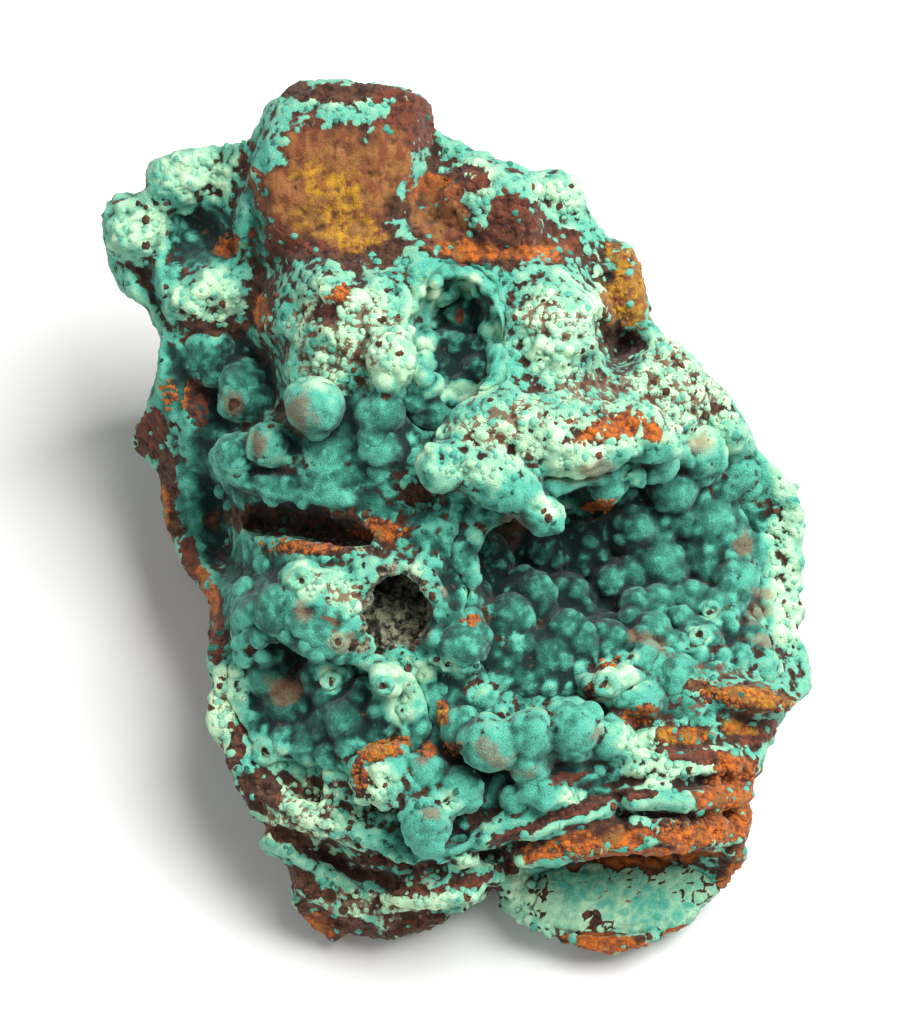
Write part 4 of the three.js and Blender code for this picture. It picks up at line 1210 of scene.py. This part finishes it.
def makeCrumbs(name, slot, *groups):
    # lumpy little balls in groups of (balls, share that is green, least and most orange)
    pick = random.Random(name)
    grown = [ball for balls, _, _ in groups for ball in balls]
    piece = copyBalls(name, smallBall, grown)
    pushOut(piece, crumbs["uneven"] * bumps(cornersOf(piece), crumbs["size"]))
    masks = shadeColours(piece)
    each = len(smallBall[0])
    green = [float(pick.random() < share) for balls, share, _ in groups for _ in balls]
    orange = [pick.uniform(*span) for balls, _, span in groups for _ in balls]
    setShade(piece, "green", np.repeat(green, each))
    setShade(piece, "orange", np.maximum(np.repeat(orange, each), masks["orange"]))
    shift = [pick.uniform(*crumbs["paleShift"]) for _ in grown]
    setShade(piece, "pale", masks["pale"] + np.repeat(shift, each))
    # crevice values a little on the bump side, so the crumbs take a little painted light and no painted
    # crevice shade
    for mask, level in (("specks", 0.0), ("layered", 0.0), ("pitFine", 0.45), ("pitBroad", 0.45)):
        setShade(piece, mask, np.full(len(grown) * each, level))
    shadeOpenness(piece)
    dress(piece, rockSkin, slot)


def chalkChance(x, y):
    pale, brown = patchMask(x, y, patches["pale"], 0.5), patchMask(x, y, patches["bareBrown"], 0.3)
    smooth = patchMask(x, y, patches["smooth"], 0.3)
    return np.maximum(0.6 * pale, 0.3 * (1 - smooth)) * (brown < 0.3)


def brownChance(x, y):
    boss = patchMask(x, y, [crumbs["boss"]], 0.2)
    return 0.8 * patchMask(x, y, patches["bareBrown"], 0.2) * (1 - boss)


def orangeChance(x, y):
    return patchMask(x, y, orangeSpots, 0.3)


rockGround = Ground([rockPiece])
chalkCrumbs = scatterOn(rockGround, keep=chalkChance, **crumbs["chalk"])
brownCrumbs = scatterOn(rockGround, keep=brownChance, **crumbs["brown"])
orangeGrains = scatterOn(grownGround, keep=orangeChance, **crumbs["orange"])
makeCrumbs("chalk_crumbs", "pale_rosasite", (chalkCrumbs, 0.9, (0.0, 0.3)))
makeCrumbs("rust_grains", "gossan", (brownCrumbs, 0.15, (0.0, 0.1)), (orangeGrains, 0.0, (0.5, 1.0)))
print("made the crumbs")

# A plain pale floor, soft lights and the camera
studio = {
    "floor": colour(226, 226, 224),
    "floorWidth": 6,
    "floorGap": 0.05 * mm,     # so that the underside doesn't flicker through the floor
    "ambient": 0.19,
    "key": {"place": (0.26, 0.06, 0.56), "size": 0.42, "power": 7.3},
    "fill": {"place": (-0.35, -0.35, 0.40), "size": 0.6, "power": 1.3},
}


def makeStudio():
    bpy.ops.object.select_all(action="DESELECT")
    bpy.ops.mesh.primitive_plane_add(size=studio["floorWidth"], location=(0, 0, -studio["floorGap"]))
    floor = bpy.context.object
    floor.name = "floor"
    material, _, shader = newSkin("pale_floor")
    shader.inputs["Base Color"].default_value = studio["floor"]
    shader.inputs["Roughness"].default_value = 0.9
    floor.data.materials.append(material)
    for name in ("key", "fill"):
        values = studio[name]
        lamp = bpy.data.lights.new(name, "AREA")
        lamp.size = values["size"]
        lamp.energy = values["power"]
        holder = bpy.data.objects.new(name, lamp)
        holder.location = values["place"]
        aim = faceMiddle - Vector(values["place"])
        holder.rotation_euler = aim.to_track_quat("-Z", "Y").to_euler()
        bpy.context.scene.collection.objects.link(holder)
    world = bpy.data.worlds.new("soft_room")
    world.use_nodes = True
    background = world.node_tree.nodes["Background"].inputs
    background["Color"].default_value = (1, 1, 1, 1)
    background["Strength"].default_value = studio["ambient"]
    bpy.context.scene.world = world


def makeCamera():
    camera = bpy.data.cameras.new("eye")
    camera.sensor_width = shot["sensor"]
    camera.lens = shot["sensor"] * shot["distance"] / (shot["frameLong"] * shot["pixelSize"])
    holder = bpy.data.objects.new("eye", camera)
    holder.location = eye
    holder.rotation_euler = (-faceOut).to_track_quat("-Z", "Y").to_euler()
    bpy.context.scene.collection.objects.link(holder)
    bpy.context.scene.camera = holder


makeStudio()
makeCamera()
bpy.context.scene.view_settings.view_transform = "Standard"
print("made the studio")
